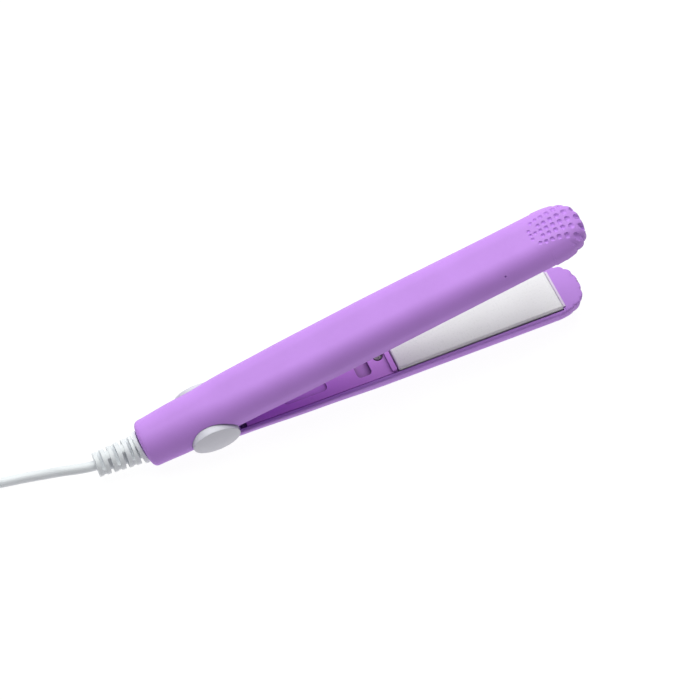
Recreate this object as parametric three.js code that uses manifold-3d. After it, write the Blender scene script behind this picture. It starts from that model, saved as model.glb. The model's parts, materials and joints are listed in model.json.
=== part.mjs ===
// A mini hair iron: two slim arms with flat heated plates, joined by a sprung hinge.
// Millimetres, +X towards the tips, +Z up. It lies open on its lower arm's flat underside.
import * as THREE from 'three';
import { mergeVertices } from 'three/addons/utils/BufferGeometryUtils.js';
import Module from 'manifold-3d';

const wasm = await Module();
wasm.setup();

// ---- Driving dimensions -------------------------------------------------------------------
const OPENING_DEG = 14.45; // angle between the arms at rest, held open by the spring
const TABLE_BELOW_PIVOT = 11.15; // the pivot's height above the table
const ORIGIN_AHEAD_OF_PIVOT = 48.68; // the frame's origin lies this far in front of the pivot
const MATING_Z = -1.2; // the plates meet this far below the pivot
const GAP = 0.3; // clearance between neighbouring pieces

const REAR_X = -21.8; // rear face of the barrel
const REAR_ROUND = 1.8;
const UPPER_TIP_X = 137.4;
const LOWER_TIP_X = 135.6;
const TIP_START_X = 120.5; // the nose starts to round off here
const NOSE_POWER = 3;
const RIM_DEPTH = 1.3; // the shells' rims stand back this far from the mating plane
const TIP_FACE_DEPTH = 1;
const RIM_WALL = 1.25;
const ROOF_WALL = 1.6;
const HOLLOW_CORNER = 0.9; // the hollow's corners are this much tighter than the wall alone gives
const CORNER_STEPS = 5;

const FORK_RADIUS = 8.3; // the barrel's side walls end in this circle about the pivot
const JAW_START_RADIUS = 8.7; // the lower arm reaches its full width outside this circle
const FORK_OUTER_Y = 6.95; // flat faces cut in the barrel's sides for the caps
const FORK_INNER_Y = 5.2;
const CHEEK_X = -8; // the fork's cheeks are solid in front of here
const HEEL_RADIUS = 8.9; // the lower arm's tongue is rounded behind the pivot
const KNUCKLE_Y = 4.85;
const KNUCKLE_RADIUS = 5.6;
const SPRING_SLOT_Y = 2.6;
const MOUTH_X = -9.6; // the barrel's floor ends here, behind the hinge
const MOUTH_CUT_X = -6; // the floor opens fully in front of here
const PIN_RADIUS = 1.8;
const PIN_HOLE_RADIUS = 2.1;

const CAP_LONG = 8.15;
const CAP_SHORT = 6.3;
const CAP_AHEAD = 0.6; // the ovals' middle lies ahead of the pin and below it
const CAP_BELOW = 0.2;
const CAP_INNER_Y = 7.3;
const CAP_RIM_Y = { near: 10.1, far: 8.9 }; // the far cap is the thinner one
const CAP_DOME = 0.5;
const CAP_CLEARANCE = 0.5;

const PLATE = {
  x0: 65.9, x1: 126.3, halfWidth: 8.0, baseHalfWidth: 6.3, face: 0.15, lip: 1.5, base: 3.0,
};
const FRAME = { x0: 66.1, x1: 127.4, halfWidth: 7.45, top: 2.5, floor: 6.2, bottom: 7.0, wall: 0.9 };
const FRAME_LIP_X = 126.6; // the holder's end lip stands up in front of the plate
const COVER = { x0: 12, x1: 65.2, halfWidth: 7.35, top: 1.35, bottom: 3.25, ribX: 63.6, ribTop: 0.35 };
const TROUGH = { x0: 26, x1: 41.5, halfWidth: 5.4, floor: 2.5 };
const POCKET = { x0: 52.2, x1: 57.4, halfWidth: 5.6, floor: 2.75 };
const COVER_SCREWS_X = { front: 61.4, rear: 18 };
const SCREW = { head: 1.55, headTall: 0.9, shank: 0.8, long: 4.2, bore: 1.1, seat: 1.9, boss: 2.6 };

const HEATER = { x0: 78.4, x1: 112.6, halfWidth: 4.4, top: 3.3, bottom: 4.8 };
const CLIP = { x0: 76, x1: 115, halfWidth: 3.2, top: 5.1, thick: 0.45 };
const PAD = { long: 5, halfWidth: 4.2, top: 3.3, bottom: 5.9 };
const PAD_CENTRES_X = { rear: 71.5, front: 120.2 };

const RELIEF = {
  long: 17.14, neck: 2.55, flange: 5.2, flangeThick: 1.1, wallEnd: 3.95,
  block: 5.6, blockEnd: 5.4, ribs: 6, slotShare: 0.36, root: 4.95, end: 4.15,
};
const BARREL_CENTRE_Z = 1.2;

const CORD_DIAMETER = 3.4;
const CORD_SIDES = 8;
const HANK = { x0: -148.6, x1: -77.2, y: 3, high: 13.8, halfWidth: 15.3, waist: 11.6, base: 0.9 };
const TIE = { halfLong: 2.6, thick: 0.6 };
const PLUG = { x0: -189, x1: -155.5, y: 1.5, halfWidth: 11.5, high: 12.5, base: 0.2 };
const BLADE = { long: 16, wide: 6.3, thick: 1.5, apart: 12.7, z: 6.45 };

// ---- Colours and finishes -----------------------------------------------------------------
function finish(color, roughness, metalness = 0) {
  return new THREE.MeshStandardMaterial({ color, roughness, metalness });
}

const LILAC = finish(0xc79bea, 0.6);
const COVER_LILAC = finish(0xa770cf, 0.6);
const WHITE = finish(0xd9dce3, 0.45);
const CERAMIC = finish(0xd8d6dc, 0.3);
const HOLDER = finish(0xe6d7ee, 0.6);
const HEATER_CASE = finish(0xc9a35c, 0.5);
const STEEL = finish(0xb4b6ba, 0.35, 1);
const SILICONE = finish(0xb8483c, 0.8);
const SLEEVE = finish(0xe9e4d4, 0.8);
const BRASS = finish(0xc9a64f, 0.35, 1);
const TIE_BLACK = finish(0x2b2b2f, 0.6);

// ---- Solids -------------------------------------------------------------------------------
function toSolid(geometry) {
  const bare = geometry.clone();
  bare.deleteAttribute('normal');
  bare.deleteAttribute('uv');
  const merged = mergeVertices(bare, 1e-4);
  return new wasm.Manifold(new wasm.Mesh({
    numProp: 3,
    vertProperties: new Float32Array(merged.attributes.position.array),
    triVerts: new Uint32Array(merged.index.array),
  }));
}

function toGeometry(solid) {
  const mesh = solid.getMesh();
  const geometry = new THREE.BufferGeometry();
  geometry.setAttribute('position', new THREE.BufferAttribute(new Float32Array(mesh.vertProperties), 3));
  geometry.setIndex(new THREE.BufferAttribute(new Uint32Array(mesh.triVerts), 1));
  geometry.computeVertexNormals();
  return geometry;
}

function block(x0, x1, y0, y1, z0, z1) {
  const box = new THREE.BoxGeometry(x1 - x0, y1 - y0, Math.abs(z1 - z0));
  box.translate((x0 + x1) / 2, (y0 + y1) / 2, (z0 + z1) / 2);
  return toSolid(box);
}

function rodAlongY(radius, y0, y1, x, z, sides = 24) {
  const rod = new THREE.CylinderGeometry(radius, radius, y1 - y0, sides);
  rod.translate(x, (y0 + y1) / 2, z);
  return toSolid(rod);
}

function rodAlongZ(radius, z0, z1, x, y, sides = 16) {
  const low = Math.min(z0, z1);
  const high = Math.max(z0, z1);
  const rod = new THREE.CylinderGeometry(radius, radius, high - low, sides);
  rod.rotateX(Math.PI / 2);
  rod.translate(x, y, (low + high) / 2);
  return toSolid(rod);
}

function rodAlongX(radius, x0, x1, y, z, sides = 24) {
  const rod = new THREE.CylinderGeometry(radius, radius, x1 - x0, sides);
  rod.rotateZ(Math.PI / 2);
  rod.translate((x0 + x1) / 2, y, z);
  return toSolid(rod);
}

// A flat outline in X and Z, made thick along Y.
function plateAlongY(outline, y0, y1) {
  const options = { depth: y1 - y0, bevelEnabled: false, curveSegments: 12 };
  const body = new THREE.ExtrudeGeometry(outline, options);
  body.rotateX(Math.PI / 2);
  body.translate(0, y1, 0);
  return toSolid(body);
}

// A flat outline in X and Y, made thick along Z.
function plateAlongZ(outline, z0, z1, curveSegments = 12) {
  const options = { depth: Math.abs(z1 - z0), bevelEnabled: false, curveSegments };
  const body = new THREE.ExtrudeGeometry(outline, options);
  body.translate(0, 0, Math.min(z0, z1));
  return toSolid(body);
}

function roundedRect(x0, x1, y0, y1, radius) {
  const shape = new THREE.Shape();
  shape.moveTo(x0 + radius, y0);
  shape.lineTo(x1 - radius, y0);
  shape.absarc(x1 - radius, y0 + radius, radius, -Math.PI / 2, 0, false);
  shape.lineTo(x1, y1 - radius);
  shape.absarc(x1 - radius, y1 - radius, radius, 0, Math.PI / 2, false);
  shape.lineTo(x0 + radius, y1);
  shape.absarc(x0 + radius, y1 - radius, radius, Math.PI / 2, Math.PI, false);
  shape.lineTo(x0, y0 + radius);
  shape.absarc(x0 + radius, y0 + radius, radius, Math.PI, 1.5 * Math.PI, false);
  return shape;
}

// Skins a row of rings, each with the same number of points, and closes both ends.
function loft(rings) {
  const count = rings[0].length;
  const points = rings.flat();
  const faces = [];
  for (let i = 0; i + 1 < rings.length; i += 1) {
    for (let j = 0; j < count; j += 1) {
      const a = i * count + j;
      const b = i * count + ((j + 1) % count);
      faces.push(a, b, a + count, b, b + count, a + count);
    }
  }
  const last = (rings.length - 1) * count;
  for (let j = 1; j + 1 < count; j += 1) {
    faces.push(0, j + 1, j);
    faces.push(last, last + j, last + j + 1);
  }
  const geometry = new THREE.BufferGeometry().setFromPoints(points);
  geometry.setIndex(enclosedVolume(points, faces) < 0 ? faces.reverse() : faces);
  return toSolid(geometry);
}

// Negative when the faces point inwards, as they do when rings run the other way round.
function enclosedVolume(points, faces) {
  let volume = 0;
  for (let i = 0; i < faces.length; i += 3) {
    const [a, b, c] = [points[faces[i]], points[faces[i + 1]], points[faces[i + 2]]];
    volume += a.dot(new THREE.Vector3().crossVectors(b, c)) / 6;
  }
  return volume;
}

// A rounded rectangle across the arm, counter-clockwise seen from the tip.
function sectionRing(x, halfWidth, top, bottom, radius) {
  const corner = Math.min(radius, halfWidth - 0.01, (top - bottom) / 2 - 0.01);
  const centres = [
    [halfWidth - corner, top - corner],
    [corner - halfWidth, top - corner],
    [corner - halfWidth, bottom + corner],
    [halfWidth - corner, bottom + corner],
  ];
  const ring = [];
  centres.forEach(([y, z], quarter) => {
    for (let step = 0; step <= CORNER_STEPS; step += 1) {
      const angle = ((quarter + step / CORNER_STEPS) * Math.PI) / 2;
      ring.push(new THREE.Vector3(x, y + corner * Math.cos(angle), z + corner * Math.sin(angle)));
    }
  });
  return ring;
}

// Smooth blend through a few places along the arm, each [x, value].
function along(places, x) {
  if (x <= places[0][0]) return places[0][1];
  for (let i = 1; i < places.length; i += 1) {
    const [x1, v1] = places[i];
    if (x <= x1) {
      const [x0, v0] = places[i - 1];
      return v0 + (v1 - v0) * THREE.MathUtils.smoothstep(x, x0, x1);
    }
  }
  return places[places.length - 1][1];
}

// ---- The arms' outer forms ----------------------------------------------------------------
const UPPER_FORM = {
  tipX: UPPER_TIP_X,
  halfWidth: [[REAR_X, 8.15], [-7, 8.85], [11, 9.1], [39, 9.5], [65, 9.6], [TIP_START_X, 9.7]],
  top: [[REAR_X, 9.15], [11, 9.55], [60, 9.6], [TIP_START_X, 8.2]],
  bottom: [[REAR_X, -6.3], [-6, -6.7], [TIP_START_X, -7.2]],
  radius: [[-4, 8.0], [16, 6.6], [TIP_START_X, 6.6]],
};
const LOWER_FORM = {
  tipX: LOWER_TIP_X,
  halfWidth: [[-JAW_START_RADIUS, 9.0], [11, 9.1], [39, 9.5], [65, 9.6], [TIP_START_X, 9.7]],
  top: [[-JAW_START_RADIUS, 5], [TIP_START_X, 5]],
  bottom: [[-4, -8.8], [11, -9.5], [36, -10.1], [62, -TABLE_BELOW_PIVOT]],
  radius: [[12, 6.8], [TIP_START_X, 6.8]],
};
const UPPER_STATIONS = [-16, -11, -6, -1, 4, 8, 12, 16, 22, 30, 42, 54, 66, 84, 102, TIP_START_X];
const LOWER_STATIONS = [-8, -4, 0, 4, 8, 12, 18, 24, 30, 36, 44, 53, 62, 84, 102, TIP_START_X];
const NOSE_STEPS = 6;

function noseShare(x, tipX) {
  if (x <= TIP_START_X) return 1;
  const part = Math.min(1, (x - TIP_START_X) / (tipX - TIP_START_X));
  return (1 - part ** NOSE_POWER) ** (1 / NOSE_POWER);
}

// One ring of an arm; inset shrinks it evenly for the rounded rear edge and for cavities.
function armRing(form, x, inset = 0) {
  const share = noseShare(x, form.tipX);
  const shrink = 0.35 + 0.65 * share;
  const top = MATING_Z + (along(form.top, x) - MATING_Z) * shrink - inset;
  const bottom = MATING_Z + (along(form.bottom, x) - MATING_Z) * shrink + inset;
  const halfWidth = Math.max(along(form.halfWidth, x) * share, 1.2) - inset;
  return sectionRing(x, halfWidth, top, bottom, along(form.radius, x) * share - inset);
}

function noseStations(tipX) {
  return Array.from({ length: NOSE_STEPS }, (_, i) => {
    const angle = ((i + 1) / NOSE_STEPS) * (Math.PI / 2);
    return TIP_START_X + (tipX - TIP_START_X) * Math.sin(angle) ** 0.9;
  });
}

function upperOuter() {
  const rear = [0, 0.35, 1].map((t) => {
    const angle = (t * Math.PI) / 2;
    const x = REAR_X + REAR_ROUND * (1 - Math.cos(angle));
    return armRing(UPPER_FORM, x, REAR_ROUND * (1 - Math.sin(angle)));
  });
  const stations = [...UPPER_STATIONS, ...noseStations(UPPER_TIP_X)];
  return loft([...rear, ...stations.map((x) => armRing(UPPER_FORM, x))]);
}

function lowerOuter() {
  const stations = [...LOWER_STATIONS, ...noseStations(LOWER_TIP_X)];
  return loft(stations.map((x) => armRing(LOWER_FORM, x)));
}

// The hollow inside an arm, from rearX to frontX.
function armHollow(side, rearX, frontX, inset = 0) {
  const form = side > 0 ? UPPER_FORM : LOWER_FORM;
  const stations = side > 0 ? UPPER_STATIONS : LOWER_STATIONS;
  const inside = stations.filter((x) => x > rearX + 1 && x < frontX - 1);
  const rings = [rearX, ...inside, frontX].map((x) => {
    const top = side > 0 ? along(form.top, x) - ROOF_WALL - inset : MATING_Z + 20;
    const bottom = side > 0 ? MATING_Z - 20 : along(form.bottom, x) + ROOF_WALL + inset;
    const wall = RIM_WALL + inset;
    const corner = along(form.radius, x) - wall - HOLLOW_CORNER;
    return sectionRing(x, along(form.halfWidth, x) - wall, top, bottom, corner);
  });
  return loft(rings);
}

// ---- Pieces repeated in both arms ---------------------------------------------------------
// side is +1 for the upper arm and -1 for the lower; depth is measured away from the mating plane.
const depthZ = (side, depth) => MATING_Z + side * depth;

function slab(side, x0, x1, halfWidth, depth0, depth1) {
  return block(x0, x1, -halfWidth, halfWidth, depthZ(side, depth0), depthZ(side, depth1));
}

function plateSolid(side) {
  const { x0, x1, halfWidth, baseHalfWidth, face, lip, base } = PLATE;
  const outline = roundedRect(x0, x1, -halfWidth, halfWidth, 0.6);
  const top = plateAlongZ(outline, depthZ(side, face), depthZ(side, lip), 3);
  return top.add(slab(side, x0 + 2, x1 - 1.5, baseHalfWidth, lip - 0.05, base));
}

function frameSolid(side) {
  const { x0, x1, halfWidth, wall } = FRAME;
  const outer = slab(side, x0, x1, halfWidth, FRAME.top, FRAME.bottom);
  const shelled = outer.intersect(armHollow(side, -2, x1 + GAP, GAP + 0.05));
  const hollow = slab(side, x0 + wall, x1 - wall, halfWidth - wall, 0, FRAME.floor);
  const lip = slab(side, FRAME_LIP_X, x1, halfWidth, TIP_FACE_DEPTH - 0.25, FRAME.top + 0.2);
  return shelled.subtract(hollow).add(lip);
}

function heaterSolid(side) {
  return slab(side, HEATER.x0, HEATER.x1, HEATER.halfWidth, HEATER.top, HEATER.bottom);
}

function clipSolid(side) {
  const leaf = slab(side, CLIP.x0, CLIP.x1, CLIP.halfWidth, CLIP.top, CLIP.top + CLIP.thick);
  return [CLIP.x0 + 1, CLIP.x1 - 1].reduce((clip, x) => {
    const foot = slab(side, x - 1, x + 1, CLIP.halfWidth, CLIP.top - 1.8, CLIP.top + 0.1);
    return clip.add(foot);
  }, leaf);
}

function padSolid(side, x) {
  return slab(side, x - PAD.long / 2, x + PAD.long / 2, PAD.halfWidth, PAD.top, PAD.bottom);
}

function coverSolid(side) {
  const outline = roundedRect(COVER.x0, COVER.x1, -COVER.halfWidth, COVER.halfWidth, 0.8);
  let cover = plateAlongZ(outline, depthZ(side, COVER.top), depthZ(side, COVER.bottom), 3);
  const ribDepths = [COVER.ribTop, COVER.top + 0.2];
  cover = cover.add(slab(side, COVER.ribX, COVER.x1, COVER.halfWidth - 0.8, ...ribDepths));
  const troughOutline = roundedRect(TROUGH.x0, TROUGH.x1, -TROUGH.halfWidth, TROUGH.halfWidth, 1.6);
  const pocketOutline = roundedRect(POCKET.x0, POCKET.x1, -POCKET.halfWidth, POCKET.halfWidth, 1.6);
  cover = cover.subtract(plateAlongZ(troughOutline, depthZ(side, 0), depthZ(side, TROUGH.floor), 4));
  cover = cover.subtract(plateAlongZ(pocketOutline, depthZ(side, 0), depthZ(side, POCKET.floor), 4));
  Object.values(COVER_SCREWS_X).forEach((x) => {
    const seatFloor = depthZ(side, COVER.top + SCREW.headTall + 0.2);
    cover = cover.subtract(rodAlongZ(SCREW.seat, depthZ(side, 0.3), seatFloor, x, 0));
    const through = depthZ(side, COVER.bottom + 1);
    cover = cover.subtract(rodAlongZ(SCREW.bore, depthZ(side, 0.3), through, x, 0));
  });
  return cover;
}

function screwSolid(side, x) {
  const headTop = COVER.top + 0.1;
  const headBottom = headTop + SCREW.headTall - 0.2;
  const head = rodAlongZ(SCREW.head, depthZ(side, headTop), depthZ(side, headBottom), x, 0, 16);
  const recess = [depthZ(side, headTop - 1), depthZ(side, headTop + 0.35)];
  const slot = block(x - 0.25, x + 0.25, -1.1, 1.1, ...recess);
  const cross = block(x - 1.1, x + 1.1, -0.25, 0.25, ...recess);
  const shankEnds = [depthZ(side, headBottom - 0.1), depthZ(side, headTop + SCREW.long)];
  const shank = rodAlongZ(SCREW.shank, ...shankEnds, x, 0, 12);
  return head.subtract(slot).subtract(cross).add(shank);
}

// Posts inside a shell that the cover's screws bite into.
function bosses(side) {
  return Object.values(COVER_SCREWS_X).map((x) => {
    const [low, high] = [COVER.bottom + GAP, COVER.bottom + 3.4];
    const post = rodAlongZ(SCREW.boss, depthZ(side, low), depthZ(side, 9.2), x, 0, 16);
    const bore = rodAlongZ(SCREW.bore, depthZ(side, low - 1.3), depthZ(side, high), x, 0, 12);
    return { post, bore };
  });
}

// A sleeved pair of wires along the inside of an arm, from x0 to the heater.
function leadSolid(side, x0, y, depth) {
  const path = new THREE.CatmullRomCurve3([
    new THREE.Vector3(x0, y, depthZ(side, depth)),
    new THREE.Vector3(x0 + 14, y + 0.6, depthZ(side, depth + 0.3)),
    new THREE.Vector3(58, y, depthZ(side, depth + 0.3)),
    new THREE.Vector3(63.5, y, depthZ(side, depth)),
  ]);
  const round = new THREE.Shape().absarc(0, 0, 0.9, 0, 2 * Math.PI, false);
  return tubeSolid(round, path, 14, 4);
}

function tubeSolid(outline, extrudePath, steps, curveSegments) {
  const options = { steps, extrudePath, curveSegments, bevelEnabled: false };
  return toSolid(new THREE.ExtrudeGeometry(outline, options));
}

// ---- Shells -------------------------------------------------------------------------------
// The cap's oval, with room around it, as it lies when the arms have turned by an angle.
function capRoom(angle) {
  const x = CAP_AHEAD * Math.cos(angle) + CAP_BELOW * Math.sin(angle);
  const z = CAP_AHEAD * Math.sin(angle) - CAP_BELOW * Math.cos(angle);
  const shape = new THREE.Shape();
  const [long, short] = [CAP_LONG + CAP_CLEARANCE, CAP_SHORT + CAP_CLEARANCE];
  shape.absellipse(x, z, long, short, 0, 2 * Math.PI, false, angle);
  return shape;
}

// Flats beside the hinge, wide enough for the caps to swing in.
function capRecess(side, turns) {
  const y0 = side > 0 ? FORK_OUTER_Y : -20;
  const y1 = side > 0 ? 20 : -FORK_OUTER_Y;
  return turns.map((turn) => {
    const angle = -turn * THREE.MathUtils.degToRad(OPENING_DEG);
    return plateAlongY(capRoom(angle), y0, y1);
  });
}

function mouthCut() {
  const rimZ = depthZ(1, RIM_DEPTH);
  const below = block(MOUTH_CUT_X, 200, -30, 30, -30, rimZ);
  const fork = rodAlongY(FORK_RADIUS, -31, 31, 0, 0, 40);
  const tipFill = block(FRAME.x1 + GAP, 200, -30, 30, depthZ(1, TIP_FACE_DEPTH), rimZ + 1);
  const slot = block(MOUTH_X, 20, -FORK_INNER_Y, FORK_INNER_Y, -30, rimZ);
  return below.subtract(fork).subtract(tipFill).add(slot);
}

function barrelHollow() {
  const rings = [REAR_X + 2.2, -12, -4, 2].map((x) => sectionRing(
    x,
    along(UPPER_FORM.halfWidth, x) - 1.9,
    along(UPPER_FORM.top, x) - ROOF_WALL,
    along(UPPER_FORM.bottom, x) + 1.9,
    along(UPPER_FORM.radius, x) - 1.9,
  ));
  const farCheek = block(CHEEK_X, 30, FORK_INNER_Y, 60, -30, 30);
  const nearCheek = block(CHEEK_X, 30, -60, -FORK_INNER_Y, -30, 30);
  return loft(rings).subtract(farCheek).subtract(nearCheek);
}

function upperShell() {
  let shell = upperOuter().subtract(mouthCut());
  const forkCheeks = block(-9, FORK_RADIUS + 0.6, -30, 30, -30, 30)
    .subtract(block(-9.5, FORK_RADIUS + 1, -FORK_INNER_Y, FORK_INNER_Y, -31, 31));
  const hollow = armHollow(1, -2, FRAME.x1 + GAP).subtract(forkCheeks);
  shell = shell.subtract(hollow).subtract(barrelHollow());
  const turns = [0, 0.5, 1];
  [...capRecess(1, turns), ...capRecess(-1, turns)].forEach((cut) => {
    shell = shell.subtract(cut);
  });
  shell = shell.subtract(rodAlongY(PIN_HOLE_RADIUS, -12, 12, 0, 0, 24));
  const bootHole = RELIEF.neck + 2 * GAP;
  shell = shell.subtract(rodAlongX(bootHole, REAR_X - 1, REAR_X + 4, 0, BARREL_CENTRE_Z, 20));
  const roofed = upperOuter();
  return [...bosses(1), ...clampPosts()].reduce(
    (body, { post, bore }) => body.add(post.intersect(roofed)).subtract(bore),
    shell,
  );
}

function lowerShell() {
  const rimZ = depthZ(-1, RIM_DEPTH);
  const above = block(-30, FRAME.x1 + GAP, -30, 30, rimZ, 30);
  const aboveTip = block(FRAME.x1, 200, -30, 30, depthZ(-1, TIP_FACE_DEPTH), 30);
  let shell = lowerOuter().subtract(above).subtract(aboveTip);
  const forkRoom = rodAlongY(JAW_START_RADIUS, -31, 31, 0, 0, 40).add(block(-30, 1, -30, 30, -30, 30));
  const tongue = block(-30, 30, -KNUCKLE_Y, KNUCKLE_Y, -30, 30);
  const heel = rodAlongY(HEEL_RADIUS, -31, 31, 0, 0, 40).add(block(0, 31, -31, 31, -31, 31));
  const behindHeel = block(-30, 30, -30, 30, -30, 30).subtract(heel);
  shell = shell.subtract(forkRoom.subtract(tongue)).subtract(behindHeel);
  [...capRecess(1, [0]), ...capRecess(-1, [0])].forEach((cut) => {
    shell = shell.subtract(cut);
  });
  shell = shell.subtract(armHollow(-1, 9.6, FRAME.x1 + GAP));
  const knuckle = rodAlongY(KNUCKLE_RADIUS, -KNUCKLE_Y, KNUCKLE_Y, 0, 0, 32);
  const neck = block(-3.5, 11, -KNUCKLE_Y, KNUCKLE_Y, -8.2, rimZ);
  shell = shell.add(knuckle).add(neck.intersect(lowerOuter()));
  shell = shell.subtract(rodAlongY(KNUCKLE_RADIUS + 0.4, -SPRING_SLOT_Y, SPRING_SLOT_Y, 0, 0, 32));
  shell = shell.subtract(block(-KNUCKLE_RADIUS - 1, 0, -SPRING_SLOT_Y, SPRING_SLOT_Y, -4, 8));
  shell = shell.subtract(rodAlongY(PIN_RADIUS + 0.05, -12, 12, 0, 0, 24));
  const floored = lowerOuter();
  return bosses(-1).reduce(
    (body, { post, bore }) => body.add(post.intersect(floored)).subtract(bore),
    shell,
  );
}

// ---- Hinge --------------------------------------------------------------------------------
function capSolid(side) {
  const rimY = side > 0 ? CAP_RIM_Y.far : CAP_RIM_Y.near;
  const layers = [
    [CAP_INNER_Y, 0.1], [CAP_INNER_Y + 0.5, 0], [rimY - 0.35, 0.12], [rimY, 0.5],
    [rimY + 0.3, 2.0], [rimY + CAP_DOME, 4.6],
  ];
  const steps = 28;
  const rings = layers.map(([y, inset]) => Array.from({ length: steps }, (_, i) => {
    const angle = (side * 2 * Math.PI * i) / steps;
    const x = CAP_AHEAD + (CAP_LONG - inset) * Math.cos(angle);
    const z = -CAP_BELOW - (CAP_SHORT - inset) * Math.sin(angle);
    return new THREE.Vector3(x, side * y, z);
  }));
  const socketEnds = side > 0 ? [6, 8.7] : [-8.7, -6];
  const socket = rodAlongY(PIN_RADIUS + GAP, ...socketEnds, 0, 0, 20);
  return loft(rings).subtract(socket);
}

function springSolid() {
  const turns = 3;
  const wire = 0.45;
  const coil = [];
  const stepsPerTurn = 14;
  for (let i = 0; i <= turns * stepsPerTurn; i += 1) {
    const angle = (2 * Math.PI * i) / stepsPerTurn;
    const y = -1.7 + (3.4 * i) / (turns * stepsPerTurn);
    coil.push(new THREE.Vector3(3.0 * Math.cos(angle), y, 3.0 * Math.sin(angle)));
  }
  const lowerLeg = new THREE.Vector3(3.2, -1.7, -2.2);
  const upperLeg = new THREE.Vector3(3.4, 1.7, 3.6);
  const path = new THREE.CatmullRomCurve3([lowerLeg, ...coil, upperLeg], false, 'centripetal');
  const round = new THREE.Shape().absarc(0, 0, wire, 0, 2 * Math.PI, false);
  return tubeSolid(round, path, 76, 3);
}

// ---- Cord entry ---------------------------------------------------------------------------
const CLAMP = { x: -14.2, halfLong: 2, halfWidth: 4.6, z: 4.0, thick: 1.4, screwY: 3.4 };
const CLAMP_BORE = 0.95;

function clampPosts() {
  return [-1, 1].map((side) => {
    const post = rodAlongZ(1.5, CLAMP.z + CLAMP.thick + GAP, 9, CLAMP.x, side * CLAMP.screwY, 12);
    const bore = rodAlongZ(CLAMP_BORE, CLAMP.z, CLAMP.z + 3.8, CLAMP.x, side * CLAMP.screwY, 10);
    return { post, bore };
  });
}

function clampSolid() {
  const { x, halfLong, halfWidth, z, thick, screwY } = CLAMP;
  const bar = block(x - halfLong, x + halfLong, -halfWidth, halfWidth, z, z + thick);
  const holes = [-1, 1].map((side) => rodAlongZ(CLAMP_BORE, z - 1, z + 3, x, side * screwY, 10));
  return bar.subtract(holes[0]).subtract(holes[1]);
}

function clampScrewSolid(side) {
  const head = rodAlongZ(1.3, CLAMP.z - GAP - 0.8, CLAMP.z - GAP, CLAMP.x, side * CLAMP.screwY, 12);
  return head.add(rodAlongZ(0.65, CLAMP.z - GAP - 0.1, CLAMP.z + 3.2, CLAMP.x, side * CLAMP.screwY, 10));
}

// The boot's middle line: straight out of the barrel, then bending level with the table.
function reliefPath() {
  const tilt = THREE.MathUtils.degToRad(OPENING_DEG);
  const yAxis = new THREE.Vector3(0, 1, 0);
  const at = (x, z) => new THREE.Vector3(x, 0, z).applyAxisAngle(yAxis, -tilt);
  const root = at(REAR_X + 0.4, BARREL_CENTRE_Z);
  const bend = at(REAR_X - 3.2, BARREL_CENTRE_Z);
  const end = new THREE.Vector3(root.x - RELIEF.long, 0, bend.z - 0.35);
  return { inside: at(REAR_X + 3.6, BARREL_CENTRE_Z), root, bend, end };
}

function reliefSolid() {
  const { inside, root, bend, end } = reliefPath();
  const path = new THREE.CatmullRomCurve3([inside, root, bend, end.clone().lerp(bend, 0.5), end]);
  const length = path.getLength();
  const edge = 0.1;
  const profile = [];
  const addBand = (start, stop, radius) => profile.push([start, radius], [stop - edge, radius]);
  addBand(0, RELIEF.flangeThick, RELIEF.flange);
  addBand(RELIEF.flangeThick, RELIEF.wallEnd, RELIEF.neck);
  addBand(RELIEF.wallEnd, RELIEF.blockEnd, RELIEF.block);
  const pitch = (length - RELIEF.blockEnd) / RELIEF.ribs;
  for (let i = 0; i < RELIEF.ribs; i += 1) {
    const slotStart = RELIEF.blockEnd + i * pitch;
    const ribStart = slotStart + RELIEF.slotShare * pitch;
    addBand(slotStart, ribStart, RELIEF.neck);
    addBand(ribStart, slotStart + pitch, THREE.MathUtils.lerp(RELIEF.root, RELIEF.end, i / (RELIEF.ribs - 1)));
  }
  const sides = 16;
  const rings = profile.map(([distance, radius]) => {
    const centre = path.getPointAt(distance / length);
    const tangent = path.getTangentAt(distance / length);
    const up = new THREE.Vector3().crossVectors(tangent, new THREE.Vector3(0, 1, 0)).normalize();
    return Array.from({ length: sides }, (_, i) => {
      const angle = (2 * Math.PI * i) / sides;
      const aside = new THREE.Vector3(0, radius * Math.sin(angle), 0);
      return centre.clone().addScaledVector(up, radius * Math.cos(angle)).add(aside);
    });
  });
  return loft(rings);
}

// ---- Cord, hank and plug ------------------------------------------------------------------
// The cord's free stretch: out of the boot, down to the table and along it into the hank.
function cordPoints() {
  const { end } = reliefPath();
  const tableZ = CORD_DIAMETER / 2 - TABLE_BELOW_PIVOT;
  return [
    new THREE.Vector3(end.x - GAP, 0, end.z),
    new THREE.Vector3(end.x - 5, 0.9, end.z - 0.3),
    new THREE.Vector3(-48.5, 2.5, tableZ + 3.3),
    new THREE.Vector3(-54.5, 5.1, tableZ + 0.9),
    new THREE.Vector3(-60.5, 6.8, tableZ + 0.1),
    new THREE.Vector3(-68.0, 8.2, tableZ),
    new THREE.Vector3(-75.0, 9.8, tableZ),
    new THREE.Vector3(-80.0, 11.4, tableZ),
  ];
}

function cordSolid() {
  const path = new THREE.CatmullRomCurve3(cordPoints(), false, 'centripetal');
  const round = new THREE.Shape().absarc(0, 0, CORD_DIAMETER / 2, 0, 2 * Math.PI, false);
  const underTable = block(-300, 0, -60, 60, -60, -TABLE_BELOW_PIVOT);
  return tubeSolid(round, path, 14, CORD_SIDES / 2).subtract(hankBlank(GAP)).subtract(underTable);
}

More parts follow.
